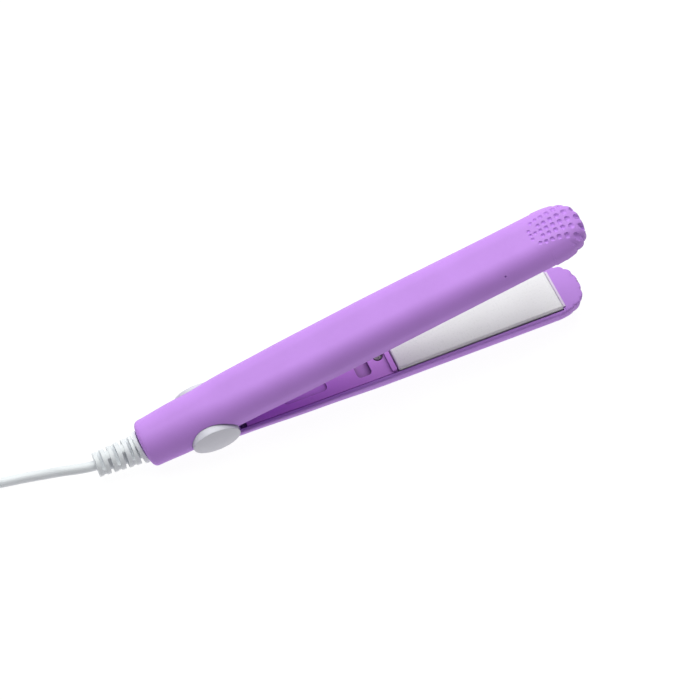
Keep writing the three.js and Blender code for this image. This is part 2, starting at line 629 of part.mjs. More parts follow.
function hankBlank(extra) {
  const middle = (HANK.x0 + HANK.x1) / 2;
  const half = (HANK.x1 - HANK.x0) / 2 + extra;
  const wide = HANK.halfWidth + extra;
  const outline = new THREE.Shape();
  const loop = half - wide;
  const pull = 2 * HANK.waist - HANK.halfWidth + extra;
  outline.moveTo(middle - loop, HANK.y - wide);
  outline.quadraticCurveTo(middle, HANK.y - pull, middle + loop, HANK.y - wide);
  outline.absarc(middle + loop, HANK.y, wide, -Math.PI / 2, Math.PI / 2, false);
  outline.quadraticCurveTo(middle, HANK.y + pull, middle - loop, HANK.y + wide);
  outline.absarc(middle - loop, HANK.y, wide, Math.PI / 2, 1.5 * Math.PI, false);
  const floorZ = HANK.base - TABLE_BELOW_PIVOT - extra;
  return plateAlongZ(outline, floorZ, floorZ + HANK.high + 2 * extra, 8);
}

function tieSolid() {
  const middle = (HANK.x0 + HANK.x1) / 2;
  const wide = HANK.waist + 1.3;
  const low = -TABLE_BELOW_PIVOT;
  const high = low + HANK.base + HANK.high + GAP + TIE.thick;
  const inner = wide - TIE.thick;
  const outer = [middle - TIE.halfLong, middle + TIE.halfLong, HANK.y - wide, HANK.y + wide];
  const hole = [middle - 9, middle + 9, HANK.y - inner, HANK.y + inner];
  return block(...outer, low, high).subtract(block(...hole, low + TIE.thick, high - TIE.thick));
}

function plugSolid() {
  const outline = new THREE.Shape();
  const neck = 5.2;
  const { x0, x1, y, halfWidth } = PLUG;
  const [near, far] = [y - halfWidth, y + halfWidth];
  outline.moveTo(x0, near + 1.5);
  outline.lineTo(x0 + 1.5, near);
  outline.lineTo(x0 + 14, near);
  outline.bezierCurveTo(x0 + 22, near, x1 - 12, y - neck, x1, y - neck + 1.2);
  outline.lineTo(x1, y + neck - 1.2);
  outline.bezierCurveTo(x1 - 12, y + neck, x0 + 22, far, x0 + 14, far);
  outline.lineTo(x0 + 1.5, far);
  outline.lineTo(x0, far - 1.5);
  const low = PLUG.base - TABLE_BELOW_PIVOT;
  let plug = plateAlongZ(outline, low, low + PLUG.high, 6);
  bladePlaces().forEach((place) => {
    plug = plug.subtract(bladeBlock(place, GAP, PLUG.x0 + 3));
  });
  return plug;
}

const bladePlaces = () => [PLUG.y - BLADE.apart / 2, PLUG.y + BLADE.apart / 2];

function bladeBlock(y, extra, x1) {
  const z = BLADE.z - TABLE_BELOW_PIVOT;
  const thick = BLADE.thick / 2 + extra;
  const wide = BLADE.wide / 2 + extra;
  return block(PLUG.x0 - BLADE.long, x1, y - thick, y + thick, z - wide, z + wide);
}

// ---- Assembly -----------------------------------------------------------------------------
function named(name, solid, material) {
  const mesh = new THREE.Mesh(toGeometry(solid), material);
  mesh.name = name;
  return mesh;
}

function armPieces(prefix, side) {
  const group = new THREE.Group();
  group.add(named(`${prefix}_inner_cover`, coverSolid(side), COVER_LILAC));
  group.add(named(`${prefix}_plate`, plateSolid(side), CERAMIC));
  group.add(named(`${prefix}_plate_holder`, frameSolid(side), HOLDER));
  group.add(named(`${prefix}_heater`, heaterSolid(side), HEATER_CASE));
  group.add(named(`${prefix}_heater_clip`, clipSolid(side), STEEL));
  Object.entries(PAD_CENTRES_X).forEach(([place, x]) => {
    group.add(named(`${prefix}_float_pad_${place}`, padSolid(side, x), SILICONE));
  });
  Object.entries(COVER_SCREWS_X).forEach(([place, x]) => {
    group.add(named(`${prefix}_cover_screw_${place}`, screwSolid(side, x), STEEL));
  });
  return group;
}

const upperArm = armPieces('upper', 1);
upperArm.add(named('upper_shell', upperShell(), LILAC));
upperArm.add(named('upper_heater_leads', leadSolid(1, 10, -4.3, 5.3), SLEEVE));
upperArm.add(named('thermal_fuse', rodAlongX(1.5, 36, 46, 3.6, depthZ(1, 5.8), 14), STEEL));
upperArm.add(named('cord_clamp', clampSolid(), WHITE));
upperArm.add(named('cord_clamp_screw_near', clampScrewSolid(-1), STEEL));
upperArm.add(named('cord_clamp_screw_far', clampScrewSolid(1), STEEL));
upperArm.rotation.y = -THREE.MathUtils.degToRad(OPENING_DEG);

const lowerArm = armPieces('lower', -1);
lowerArm.add(named('lower_shell', lowerShell(), LILAC));
lowerArm.add(named('lower_heater_leads', leadSolid(-1, 12.5, -4.3, 5.1), SLEEVE));
lowerArm.add(named('pivot_pin', rodAlongY(PIN_RADIUS, -8.4, 8.4, 0, 0, 24), STEEL));
lowerArm.add(named('pivot_cap_near', capSolid(-1), WHITE));
lowerArm.add(named('pivot_cap_far', capSolid(1), WHITE));
lowerArm.add(named('torsion_spring', springSolid(), STEEL));

const lead = new THREE.Group();
lead.add(named('strain_relief', reliefSolid(), WHITE));
lead.add(named('cord', cordSolid(), WHITE));
lead.add(named('cord_hank', hankBlank(0), WHITE));
lead.add(named('hank_tie', tieSolid(), TIE_BLACK));
lead.add(named('plug_body', plugSolid(), WHITE));
bladePlaces().forEach((y, i) => {
  lead.add(named(`plug_blade_${['near', 'far'][i]}`, bladeBlock(y, 0, PLUG.x0 + 2.7), BRASS));
});

const iron = new THREE.Group();
iron.add(upperArm, lowerArm, lead);
iron.position.set(-ORIGIN_AHEAD_OF_PIVOT, 0, TABLE_BELOW_PIVOT);

export default iron;
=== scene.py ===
"""The looks of a mini hair iron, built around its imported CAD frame.

Shapes are worked out in millimetres about the hinge pivot, with +X towards the tips, and are then
placed in the frame in metres: LOWER for the arm that lies level, UPPER for the arm that is open.
Where a function takes a side of the iron, it is +1 for the upper arm and -1 for the lower arm. A
depth is a distance into an arm from the plane where the two plates meet.
"""

import json
import math

import bmesh
import bpy
from mathutils import Matrix, Vector


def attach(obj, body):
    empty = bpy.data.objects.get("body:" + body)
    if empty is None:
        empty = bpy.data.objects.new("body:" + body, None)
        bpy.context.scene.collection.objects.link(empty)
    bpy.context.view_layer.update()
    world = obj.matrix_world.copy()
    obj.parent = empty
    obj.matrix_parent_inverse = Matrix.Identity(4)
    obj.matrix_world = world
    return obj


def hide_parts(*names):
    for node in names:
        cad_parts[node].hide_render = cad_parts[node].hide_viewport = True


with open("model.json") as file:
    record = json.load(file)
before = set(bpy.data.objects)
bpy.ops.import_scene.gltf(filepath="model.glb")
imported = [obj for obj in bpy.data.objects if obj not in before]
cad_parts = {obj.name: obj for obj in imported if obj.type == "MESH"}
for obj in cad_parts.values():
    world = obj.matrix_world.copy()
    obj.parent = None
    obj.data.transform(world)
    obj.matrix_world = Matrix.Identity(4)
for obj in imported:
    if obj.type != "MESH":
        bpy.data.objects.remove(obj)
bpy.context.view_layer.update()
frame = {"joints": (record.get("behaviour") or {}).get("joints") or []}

MM = 0.001
HINGE = next(joint for joint in frame["joints"] if joint["name"] == "jaw_hinge")
PIVOT = Vector(HINGE["pos_m"])
OPENING = math.radians(HINGE["range_deg"][1])
TABLE_Z = -PIVOT.z / MM  # the table's height, in millimetres from the pivot
LOWER = Matrix.Translation(PIVOT) @ Matrix.Scale(MM, 4)
UPPER = Matrix.Translation(PIVOT) @ Matrix.Rotation(-OPENING, 4, "Y") @ Matrix.Scale(MM, 4)


# ---- Camera ---------------------------------------------------------------------------------
CAMERA_ELEVATION = math.radians(59.5)
CAMERA_TURN = math.radians(23.27)  # how far the camera looks round from +Y towards +X
CAMERA_DISTANCE = 0.700
CAMERA_LENS = 110.58
CAMERA_SENSOR = 36
CAMERA_AIM = (0.04735, 0.02157)  # right of and above the pivot, as the camera sees it


def make_camera():
    level = Vector((math.sin(CAMERA_TURN), math.cos(CAMERA_TURN), 0))
    back = Vector((0, 0, math.sin(CAMERA_ELEVATION))) - level * math.cos(CAMERA_ELEVATION)
    right = Vector((math.cos(CAMERA_TURN), -math.sin(CAMERA_TURN), 0))
    up = back.cross(right)
    camera = bpy.data.objects.new("camera", bpy.data.cameras.new("camera"))
    camera.data.lens = CAMERA_LENS
    camera.data.sensor_width = CAMERA_SENSOR
    aim = PIVOT + right * CAMERA_AIM[0] + up * CAMERA_AIM[1]
    camera.location = aim + back * CAMERA_DISTANCE
    camera.rotation_euler = Matrix((right, up, back)).transposed().to_euler()
    bpy.context.scene.collection.objects.link(camera)
    bpy.context.scene.camera = camera


# ---- Outlines, in any plane -------------------------------------------------------------------
def circle(x, y, long, short=None, turn=0.0, steps=64):
    """A circle, or an oval turned by an angle."""
    short = long if short is None else short
    points = []
    for i in range(steps):
        angle = math.tau * i / steps
        a, b = long * math.cos(angle), short * math.sin(angle)
        points.append((x + a * math.cos(turn) - b * math.sin(turn),
                       y + a * math.sin(turn) + b * math.cos(turn)))
    return points


def rounded_rectangle(x0, x1, y0, y1, radius, steps=6):
    points = []
    corners = [(x1 - radius, y1 - radius), (x0 + radius, y1 - radius),
               (x0 + radius, y0 + radius), (x1 - radius, y0 + radius)]
    for quarter, (x, y) in enumerate(corners):
        for i in range(steps + 1):
            angle = (quarter + i / steps) * math.pi / 2
            points.append((x + radius * math.cos(angle), y + radius * math.sin(angle)))
    return points


def smooth_step(t):
    """Eases from 0 to 1."""
    t = max(0.0, min(1.0, t))
    return t * t * (3 - 2 * t)


# ---- Meshes ---------------------------------------------------------------------------------
SMOOTH_ANGLE = math.radians(32)


def new_piece(name, points, faces):
    """A mesh in millimetres about the pivot, with its faces pointing out."""
    mesh = bpy.data.meshes.new(name)
    mesh.from_pydata([tuple(point) for point in points], [], faces)
    form = bmesh.new()
    form.from_mesh(mesh)
    bmesh.ops.recalc_face_normals(form, faces=form.faces)
    form.to_mesh(mesh)
    form.free()
    piece = bpy.data.objects.new(name, mesh)
    bpy.context.scene.collection.objects.link(piece)
    return piece


def loft(name, rings):
    """Skins a row of rings, each with the same number of points, and closes both ends."""
    count = len(rings[0])
    faces = []
    for i in range(len(rings) - 1):
        for j in range(count):
            a, b = i * count + j, i * count + (j + 1) % count
            faces.append((a, b, b + count, a + count))
    last = (len(rings) - 1) * count
    faces.append(tuple(range(count)))
    faces.append(tuple(range(last, last + count)))
    return new_piece(name, [point for ring in rings for point in ring], faces)


def prism(name, outline, axis, low, high):
    """An outline made thick along an axis: its points are in the two other axes, in order."""
    def ring(value):
        points = []
        for a, b in outline:
            point = [a, b]
            point.insert("XYZ".index(axis), value)
            points.append(tuple(point))
        return points
    return loft(name, [ring(low), ring(high)])


def box(x0, x1, y0, y1, z0, z1):
    return prism("box", [(x0, y0), (x1, y0), (x1, y1), (x0, y1)], "Z", z0, z1)


def side_boxes(x0, x1, y0, y1, z0, z1):
    """Two boxes, one to each side of the middle."""
    return [box(x0, x1, y0, y1, z0, z1), box(x0, x1, -y1, -y0, z0, z1)]


def rod(axis, radius, low, high, a=0.0, b=0.0, steps=48):
    """A round bar along an axis, centred on (a, b) in the two other axes."""
    return prism("rod", circle(a, b, radius, steps=steps), axis, low, high)


def settle_modifiers(piece):
    """Makes a piece's modifiers part of its mesh."""
    graph = bpy.context.evaluated_depsgraph_get()
    mesh = bpy.data.meshes.new_from_object(piece.evaluated_get(graph))
    piece.modifiers.clear()
    piece.data = mesh


def combine(piece, others, operation):
    """Cuts the others out of a piece, or joins them to it."""
    for other in others:
        step = piece.modifiers.new(operation, "BOOLEAN")
        step.solver = "MANIFOLD"
        step.operation = operation
        step.object = other
    settle_modifiers(piece)
    for other in others:
        bpy.data.objects.remove(other)


def place_piece(piece, name, place, body, material, replaced):
    """Moves a finished piece into the frame, gives it its body and finish, and hides the CAD nodes it
    replaces.
    """
    piece.name = name
    piece.data.transform(place)
    piece.data.shade_smooth()
    piece.data.set_sharp_from_angle(angle=SMOOTH_ANGLE)
    piece.data.materials.clear()
    piece.data.materials.append(material)
    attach(piece, body)
    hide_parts(*replaced)
    return piece


# ---- Arms -----------------------------------------------------------------------------------
# All sizes from here on are in millimetres, unless they say metres. Most are the CAD pieces' own.
MATING_Z = -1.2  # the plane where the plates meet
RIM_DEPTH = 1.3  # the shells' rims stand back this far from the mating plane
RIM_ROUND = {1: 0.4, -1: 1.0}
TIP_FACE_DEPTH = 1.0
TIP_FACE_X = 127.45  # where the room inside an arm ends
TIP_FACE_LIP = 0.3  # the tip's face starts this far behind it
REAR_X = -21.8
REAR_ROUND = 1.8
BARREL_KEEL = -5.5
FORK_RADIUS = 8.3
TIP_START_X = 120.5
TIP_X = {1: 137.4, -1: 135.6}
NOSE_POWER = 3
NOSE_CROWN_KEPT = 0.3  # the shares of an arm's crown and keel that are left at its very end
NOSE_KEEL_KEPT = 0.35
LEAST_HALF_WIDTH = 0.5
LEAST_RADIUS = 0.2

# How each arm's rounded section changes along it: (x, value), in depth from the mating plane.
WIDTHS = [(-7, 8.85), (11, 9.1), (39, 9.5), (65, 9.6), (TIP_START_X, 9.7)]
FORMS = {
    1: {
        "half_width": [(REAR_X, 8.15)] + WIDTHS,
        "crown": [(REAR_X, 10.35), (11, 10.75), (60, 10.8), (TIP_START_X, 9.4)],
        "keel": [(REAR_X, -5.1), (-6, BARREL_KEEL), (TIP_START_X, -6.0)],
        "radius": [(-4, 8.0), (16, 6.6)],
    },
    -1: {
        "half_width": WIDTHS,
        "crown": [(-4, 7.6), (11, 8.3), (36, 8.9), (62, -TABLE_Z + MATING_Z)],
        "keel": [(0, -6.2)],
        "radius": [(12, 6.8)],
    },
}

# How finely a half section and the rounding of its rim are drawn.
CORNER_STEPS = 30
RIM_STEPS = 8
KEPT_STEPS = 120
FLAT_STEPS, ROUND_STEPS, SIDE_STEPS = 3, 5, 150
TINY = 0.01
LEAST_CUT = 0.02
UNCUT_FLAT, UNCUT_BEND = 0.12, 0.16  # as shares of an uncut half section's length

# Where an arm's rings lie: (start, end, step).
BARREL_STATIONS = (-18, 4.6, 1.2)
FORK_DEGREES = range(36, 91, 3)
UPPER_STATIONS = (8.6, 112, 2.6)
LOWER_STATIONS = (-8, 112, 2.0)
FRONT_STATIONS = (112.6, TIP_START_X, 0.3)
REAR_STEPS = 7
NOSE_EVEN_SHARE = 0.85  # how much of a nose has evenly spaced rings
NOSE_EVEN_STEPS, NOSE_END_STEPS = 48, 40


def along(places, x):
    """Smooth blend through a few places along the arm."""
    if x <= places[0][0]:
        return places[0][1]
    for (x0, v0), (x1, v1) in zip(places, places[1:]):
        if x <= x1:
            t = (x - x0) / (x1 - x0)
            return v0 + (v1 - v0) * t * t * (3 - 2 * t)
    return places[-1][1]


def nose_share(side, x):
    """How much of its full width an arm still has at a place along it."""
    if x <= TIP_START_X:
        return 1.0
    part = min(1.0, (x - TIP_START_X) / (TIP_X[side] - TIP_START_X))
    return (1 - part ** NOSE_POWER) ** (1 / NOSE_POWER)


def rim_depth(side, x, keel):
    """How deep the arm is cut back: to its rim, to its tip face or round the hinge."""
    if side < 0 or x > FORK_RADIUS:
        return TIP_FACE_DEPTH if x > TIP_FACE_X - TIP_FACE_LIP else RIM_DEPTH
    round_hinge = -math.sqrt(FORK_RADIUS ** 2 - x * x) - MATING_Z if x > 0 else keel
    return min(max(keel, round_hinge), RIM_DEPTH)


def points_between(line, start, end, steps):
    """Evenly spaced points of a line, from one distance along it to another."""
    points, run, i = [], 0.0, 0
    for step in range(steps):
        target = start + (end - start) * step / steps
        while i < len(line) - 2 and run + math.dist(line[i], line[i + 1]) < target:
            run += math.dist(line[i], line[i + 1])
            i += 1
        part = (target - run) / max(math.dist(line[i], line[i + 1]), 1e-9)
        a, b = line[i], line[i + 1]
        points.append((a[0] + (b[0] - a[0]) * part, a[1] + (b[1] - a[1]) * part))
    return points


def length_of(line):
    return sum(math.dist(a, b) for a, b in zip(line, line[1:]))


def section_line(half_width, crown, keel, radius):
    """Half of an uncut section, (y, depth), from the middle of its keel to the middle of its crown."""
    corner = min(radius, half_width - TINY, (crown - keel) / 2 - TINY)
    inner = half_width - corner
    arcs = [(-90 + 90 * i / CORNER_STEPS, keel + corner) for i in range(CORNER_STEPS + 1)]
    arcs += [(90 * i / CORNER_STEPS, crown - corner) for i in range(CORNER_STEPS + 1)]
    line = [(0.0, keel)]
    for degrees, middle in arcs:
        angle = math.radians(degrees)
        line.append((inner + corner * math.cos(angle), middle + corner * math.sin(angle)))
    return line + [(0.0, crown)]


def cut_section(line, cut, rounding):
    """A half section cut off at a depth, with where its flat ends and where its rounded rim ends."""
    i = next(i for i, point in enumerate(line) if point[1] > cut)
    part = (cut - line[i - 1][1]) / (line[i][1] - line[i - 1][1])
    edge = (line[i - 1][0] + (line[i][0] - line[i - 1][0]) * part, cut)
    kept = [edge] + line[i:]
    near = (edge[0] - rounding, cut)
    far = points_between(kept, rounding, rounding + 1, 1)[0]
    rim = []
    for step in range(RIM_STEPS + 1):
        t = step / RIM_STEPS
        a, b, c = (1 - t) ** 2, 2 * t * (1 - t), t * t
        rim.append(tuple(a * p + b * q + c * r for p, q, r in zip(near, edge, far)))
    rest = points_between(kept, rounding, length_of(kept), KEPT_STEPS)[1:] + [kept[-1]]
    return [(0.0, cut)] + rim + rest, near[0], near[0] + length_of(rim)


def half_section(half_width, crown, keel, radius, cut, rim_round):
    """Half of an arm's section, (y, depth), from the middle of its flat to the middle of its crown."""
    line = section_line(half_width, crown, keel, radius)
    if cut <= keel + LEAST_CUT:
        flat, bend = length_of(line) * UNCUT_FLAT, length_of(line) * UNCUT_BEND
    else:
        line, flat, bend = cut_section(line, cut, min(rim_round, (cut - keel) / 2))
    return (points_between(line, 0, flat, FLAT_STEPS) + points_between(line, flat, bend, ROUND_STEPS)
            + points_between(line, bend, length_of(line), SIDE_STEPS) + [line[-1]])


def arm_ring(side, x, inset=0.0):
    """A ring of an arm's outer skin, or one that lies inside it by an inset."""
    form = FORMS[side]
    share = nose_share(side, x)
    crown = along(form["crown"], x) * (NOSE_CROWN_KEPT + (1 - NOSE_CROWN_KEPT) * share) - inset
    keel = along(form["keel"], x) * (NOSE_KEEL_KEPT + (1 - NOSE_KEEL_KEPT) * share) + inset
    half_width = max(along(form["half_width"], x) * share, LEAST_HALF_WIDTH) - inset
    radius = max(along(form["radius"], x) * share - inset, LEAST_RADIUS)
    half = half_section(half_width, crown, keel, radius, rim_depth(side, x, keel), RIM_ROUND[side])
    whole = half + [(-y, depth) for y, depth in reversed(half[1:-1])]
    return [(x, y, MATING_Z + side * depth) for y, depth in whole]


def spread(start, end, step):
    """Evenly spaced values, a step or nearly a step apart."""
    count = max(1, round((end - start) / step))
    return [start + (end - start) * i / count for i in range(count + 1)]


def nose_stations(side):
    """Stations along a nose: evenly spaced at first, then crowding towards its blunt end."""
    reach = TIP_X[side] - TIP_START_X
    shares = [NOSE_EVEN_SHARE * i / NOSE_EVEN_STEPS for i in range(1, NOSE_EVEN_STEPS)]
    start = math.asin(NOSE_EVEN_SHARE ** (NOSE_POWER / 2))
    angles = [start + (math.pi / 2 - start) * i / NOSE_END_STEPS for i in range(NOSE_END_STEPS + 1)]
    shares += [math.sin(angle) ** (2 / NOSE_POWER) for angle in angles]
    return [TIP_START_X + reach * share for share in shares]


def upper_outer():
    """The upper arm's outside, with a rounded rear end."""
    rear = []
    for i in range(REAR_STEPS + 1):
        angle = i / REAR_STEPS * math.pi / 2
        x = REAR_X + REAR_ROUND * (1 - math.cos(angle))
        rear.append(arm_ring(1, x, REAR_ROUND * (1 - math.sin(angle))))
    fork = [FORK_RADIUS * math.sin(math.radians(degrees)) for degrees in FORK_DEGREES]
    stations = spread(*BARREL_STATIONS) + fork + spread(*UPPER_STATIONS)
    stations += spread(*FRONT_STATIONS) + nose_stations(1)
    return loft("upper", rear + [arm_ring(1, x) for x in stations])


def lower_outer():
    stations = spread(*LOWER_STATIONS) + spread(*FRONT_STATIONS) + nose_stations(-1)
    return loft("lower", [arm_ring(-1, x) for x in stations])


# ---- Room inside the arms -------------------------------------------------------------------
ASIDE, FAR, FARTHER = 20, 30, 40  # how far cutters reach past what they cut
RIM_WALL = 1.25
ROOF_WALL = 1.6
BARREL_WALL = 1.9
HOLLOW_CORNER = 0.9  # how much tighter the room's corners are than the wall alone makes them
HOLLOW_STATIONS = range(-16, 122, 4)
HOLLOW_REAR_X = {1: -2, -1: 9.6}
FRAME_END_X = 126.45  # where the plate's frame ends, and the room narrows
FRAME_HALF_WIDTH = 7.5
PAST_TIP_X = 200


def hollow_ring(side, x, wall, roof, corner):
    """A ring of the room inside an arm, open far past the mating plane."""
    form = FORMS[side]
    half_width = along(form["half_width"], x) - wall
    radius = along(form["radius"], x) - wall - corner
    outline = rounded_rectangle(-half_width, half_width, -ASIDE, along(form["crown"], x) - roof, radius)
    return [(x, y, MATING_Z + side * depth) for y, depth in outline]


def arm_hollow(side):
    rear_x = HOLLOW_REAR_X[side]
    stations = [rear_x] + [x for x in HOLLOW_STATIONS if x > rear_x + 1] + [TIP_FACE_X]
    rings = [hollow_ring(side, x, RIM_WALL, ROOF_WALL, HOLLOW_CORNER) for x in stations]
    hollow = loft("hollow", rings)
    corners = side_boxes(FRAME_END_X, PAST_TIP_X, FRAME_HALF_WIDTH, ASIDE, -FARTHER, FARTHER)
    combine(hollow, corners, "DIFFERENCE")
    return hollow


# ---- Scoops and lobes at the tips -----------------------------------------------------------
SCOOP_START_X = 120.5
SCOOP_MARGIN = 2  # nothing further behind the first scoops than this is pressed in
SCOOP_COLUMNS = 8
SCOOP_PITCH, SCOOP_PITCH_GROWTH = 1.55, 0.105
SCOOP_REACH = 16.0
SCOOP_ROWS = (-2, -1, 0, 1, 2)
SHORT_COLUMNS = {0: (-1, 0, 1), 1: (-2, 0, 2), 7: (-1, 0, 1)}  # the rows of columns that lack some
SCOOP_ROW_Y = (0.0, 2.0, 4.4)
ROW_FAN = 0.8  # how much the rows spread by the tip, as a share
ROW_START, ROW_GAIN = 0.8, 0.1  # how wide the first column is, and what each next one gains
SCOOP_LONG = (0.5, 0.42)  # half length, half width and depth: at the start, and gained by the tip
SCOOP_WIDE = (0.56, 0.6)
SCOOP_DEEP = (0.42, 0.26)
CROWN_FACING = 0.12  # scoops are pressed in only where the skin faces outwards more than this
LOBE_CENTRE_X = 124.0
LOBE_PITCH = 3.6
LOBE_LIMIT = 13.5
LOBE_FADE = 1.5
LOBE_DEPTH = 0.6
LOBE_SWELL = {1: 0.3, -1: 0.1}
LOBE_POWER = 0.7
LOBE_EDGE, LOBE_EDGE_WIDE = 0.8, 0.17  # as shares of the way from the nose's middle to its outline
OUTLINE_STEPS = 60


def scoop_places():
    """The grip scoops: (x, y, half length, half width, depth), in rows that fan out to the tip."""
    places = []
    for column in range(SCOOP_COLUMNS):
        ahead = SCOOP_PITCH * column + SCOOP_PITCH_GROWTH * column ** 2
        t = ahead / SCOOP_REACH
        spread_out = (1 + ROW_FAN * t ** 3) * min(1.0, ROW_START + ROW_GAIN * column)
        long, wide, deep = (start + gain * t for start, gain in (SCOOP_LONG, SCOOP_WIDE, SCOOP_DEEP))
        for row in SHORT_COLUMNS.get(column, SCOOP_ROWS):
            y = math.copysign(SCOOP_ROW_Y[abs(row)] * spread_out, row)
            places.append((SCOOP_START_X + ahead, y, long, wide, deep))
    return places


def scoop_depth(places, x, y):
    """How deep the scoops are at a point: each is half an ellipsoid."""
    deepest = 0.0
    for place_x, place_y, long, wide, depth in places:
        across = ((x - place_x) / long) ** 2 + ((y - place_y) / wide) ** 2
        if across < 1:
            deepest = max(deepest, depth * (1 - across) ** 0.5)
    return deepest


def nose_outline(side):
    """The nose's outline from above: (angle about its middle, length along it, reach from it)."""
    table, length, last = [], 0.0, None
    for i in range(OUTLINE_STEPS + 1):
        angle = math.pi / 2 * i / OUTLINE_STEPS
        x = TIP_START_X + (TIP_X[side] - TIP_START_X) * math.cos(angle) ** (2 / NOSE_POWER)
        y = WIDTHS[-1][1] * math.sin(angle) ** (2 / NOSE_POWER)
        if last:
            length += math.dist((x, y), last)
        last = (x, y)
        table.append((math.atan2(y, x - LOBE_CENTRE_X), length, math.hypot(y, x - LOBE_CENTRE_X)))
    return table


def lobe_depth(length):
    """How far the nose's outline is drawn in between its lobes, at a length along it."""
    fade = max(0.0, min(1.0, (LOBE_LIMIT - length) / LOBE_FADE))
    turn = abs(math.sin(math.pi * length / LOBE_PITCH))
    return LOBE_DEPTH * fade * (1 - turn ** LOBE_POWER)


def lobe_shift(outline, side, x, y):
    """How a point near the nose's edge moves as the outline swells and is drawn in."""
    angle = math.atan2(abs(y), x - LOBE_CENTRE_X)
    length, reach = next((place for turn, *place in outline if turn >= angle), outline[-1][1:])
    out = Vector((x - LOBE_CENTRE_X, y, 0))
    share = smooth_step((out.length / reach - LOBE_EDGE) / LOBE_EDGE_WIDE)
    return out.normalized() * (lobe_depth(length) - LOBE_SWELL[side]) * share


def carve_tip(piece, side):
    """Presses the scoops into a tip's crown, and draws its outline in between the lobes."""
    places = scoop_places()
    outline = nose_outline(side)
    normals = [vertex.normal.copy() for vertex in piece.data.vertices]
    for vertex, normal in zip(piece.data.vertices, normals):
        x, y = vertex.co.xy
        if x < SCOOP_START_X - SCOOP_MARGIN:
            continue
        if normal.z * side > CROWN_FACING:
            vertex.co -= normal * scoop_depth(places, x, y)
        if x > LOBE_CENTRE_X:
            vertex.co -= lobe_shift(outline, side, x, y)


# ---- Shells ---------------------------------------------------------------------------------
FORK_OUTER_Y, FORK_INNER_Y = 6.95, 5.2
CHEEK_X = (-8, FORK_RADIUS + 0.6)
MOUTH_X = -9.6
BARREL_ROOM_X = (REAR_X + 2.2, -12, -4, 2)
BARREL_CENTRE_Z = 1.2
BOOT_HOLE_RADIUS = 3.15
BOOT_HOLE_X = (REAR_X - 1, REAR_X + 4)
PINHOLE_RADIUS, PINHOLE_PLACE, PINHOLE_Y = 0.35, (107.3, 6.0), (-12, -7)
PIN_RADIUS, PIN_CLEARANCE, PIN_HOLE_RADIUS = 1.8, 0.05, 2.1
PIN_REACH = 12
JAW_START_RADIUS = 8.7
HEEL_RADIUS = 8.9
KNUCKLE_Y, KNUCKLE_RADIUS = 4.85, 5.6
NECK_X, NECK_BOTTOM = (-3.5, 11), -8.2
SPRING_SLOT_Y, SPRING_CLEARANCE, SPRING_MOUTH_Z = 2.6, 0.4, (-4, 8)
CAP_LONG, CAP_SHORT = 8.15, 6.3
CAP_AHEAD, CAP_BELOW = 0.6, 0.2  # where a cap's middle lies from the pivot
CAP_CLEARANCE = 0.15
CAP_TURNS = 4  # steps from closed to open, at each of which the fork leaves room for the caps
HINGE_STEPS = 96


def cap_room(turn, low, high):
    """Room for a cap beside the hinge, as it lies when the arms have turned by an angle."""
    x = CAP_AHEAD * math.cos(turn) + CAP_BELOW * math.sin(turn)
    z = CAP_AHEAD * math.sin(turn) - CAP_BELOW * math.cos(turn)
    outline = circle(x, z, CAP_LONG + CAP_CLEARANCE, CAP_SHORT + CAP_CLEARANCE, turn)
    return prism("cap_room", outline, "Y", low, high)


def cap_rooms(turns):
    """Room for both caps, at each of a few turns of the arms."""
    ends = ((FORK_OUTER_Y, ASIDE), (-ASIDE, -FORK_OUTER_Y))
    return [cap_room(turn, low, high) for low, high in ends for turn in turns]


def upper_hollow():
    """The room inside the upper arm and its barrel, without the fork's solid cheeks."""
    hollow = arm_hollow(1)
    barrel = loft("barrel", [hollow_ring(1, x, BARREL_WALL, ROOF_WALL, 0) for x in BARREL_ROOM_X])
    floor = box(-FARTHER, ASIDE, -FAR, FAR, -FARTHER, MATING_Z + BARREL_KEEL + BARREL_WALL)
    cheeks = side_boxes(*CHEEK_X, FORK_INNER_Y, FAR, -FAR, FAR)
    combine(barrel, [floor], "DIFFERENCE")
    combine(hollow, [barrel], "UNION")
    combine(hollow, cheeks, "DIFFERENCE")
    return hollow


def upper_shell():
    shell = upper_outer()
    carve_tip(shell, 1)
    mouth = box(MOUTH_X, ASIDE, -FORK_INNER_Y, FORK_INNER_Y, -FAR, MATING_Z + RIM_DEPTH)
    cuts = [mouth, upper_hollow()]
    cuts += cap_rooms([-OPENING * i / CAP_TURNS for i in range(CAP_TURNS + 1)])
    cuts.append(rod("Y", PIN_HOLE_RADIUS, -PIN_REACH, PIN_REACH))
    cuts.append(rod("X", BOOT_HOLE_RADIUS, *BOOT_HOLE_X, 0, BARREL_CENTRE_Z))
    cuts.append(rod("Y", PINHOLE_RADIUS, *PINHOLE_Y, *PINHOLE_PLACE, steps=16))
    combine(shell, cuts, "DIFFERENCE")
    return shell


def fork_room():
    """The room round the hinge for the upper arm's fork, on both sides of the lower arm's knuckle."""
    room = rod("Y", JAW_START_RADIUS, -FAR - 1, FAR + 1, steps=HINGE_STEPS)
    combine(room, [box(-FAR, 1, -FAR, FAR, -FAR, FAR)], "UNION")
    combine(room, [box(-FAR, FAR, -KNUCKLE_Y, KNUCKLE_Y, -FARTHER, FARTHER)], "DIFFERENCE")
    return room


def behind_heel():
    """Everything behind the lower arm's round heel."""
    room = box(-FAR, 0, -FAR, FAR, -FAR, FAR)
    combine(room, [rod("Y", HEEL_RADIUS, -FAR - 1, FAR + 1, steps=HINGE_STEPS)], "DIFFERENCE")
    return room


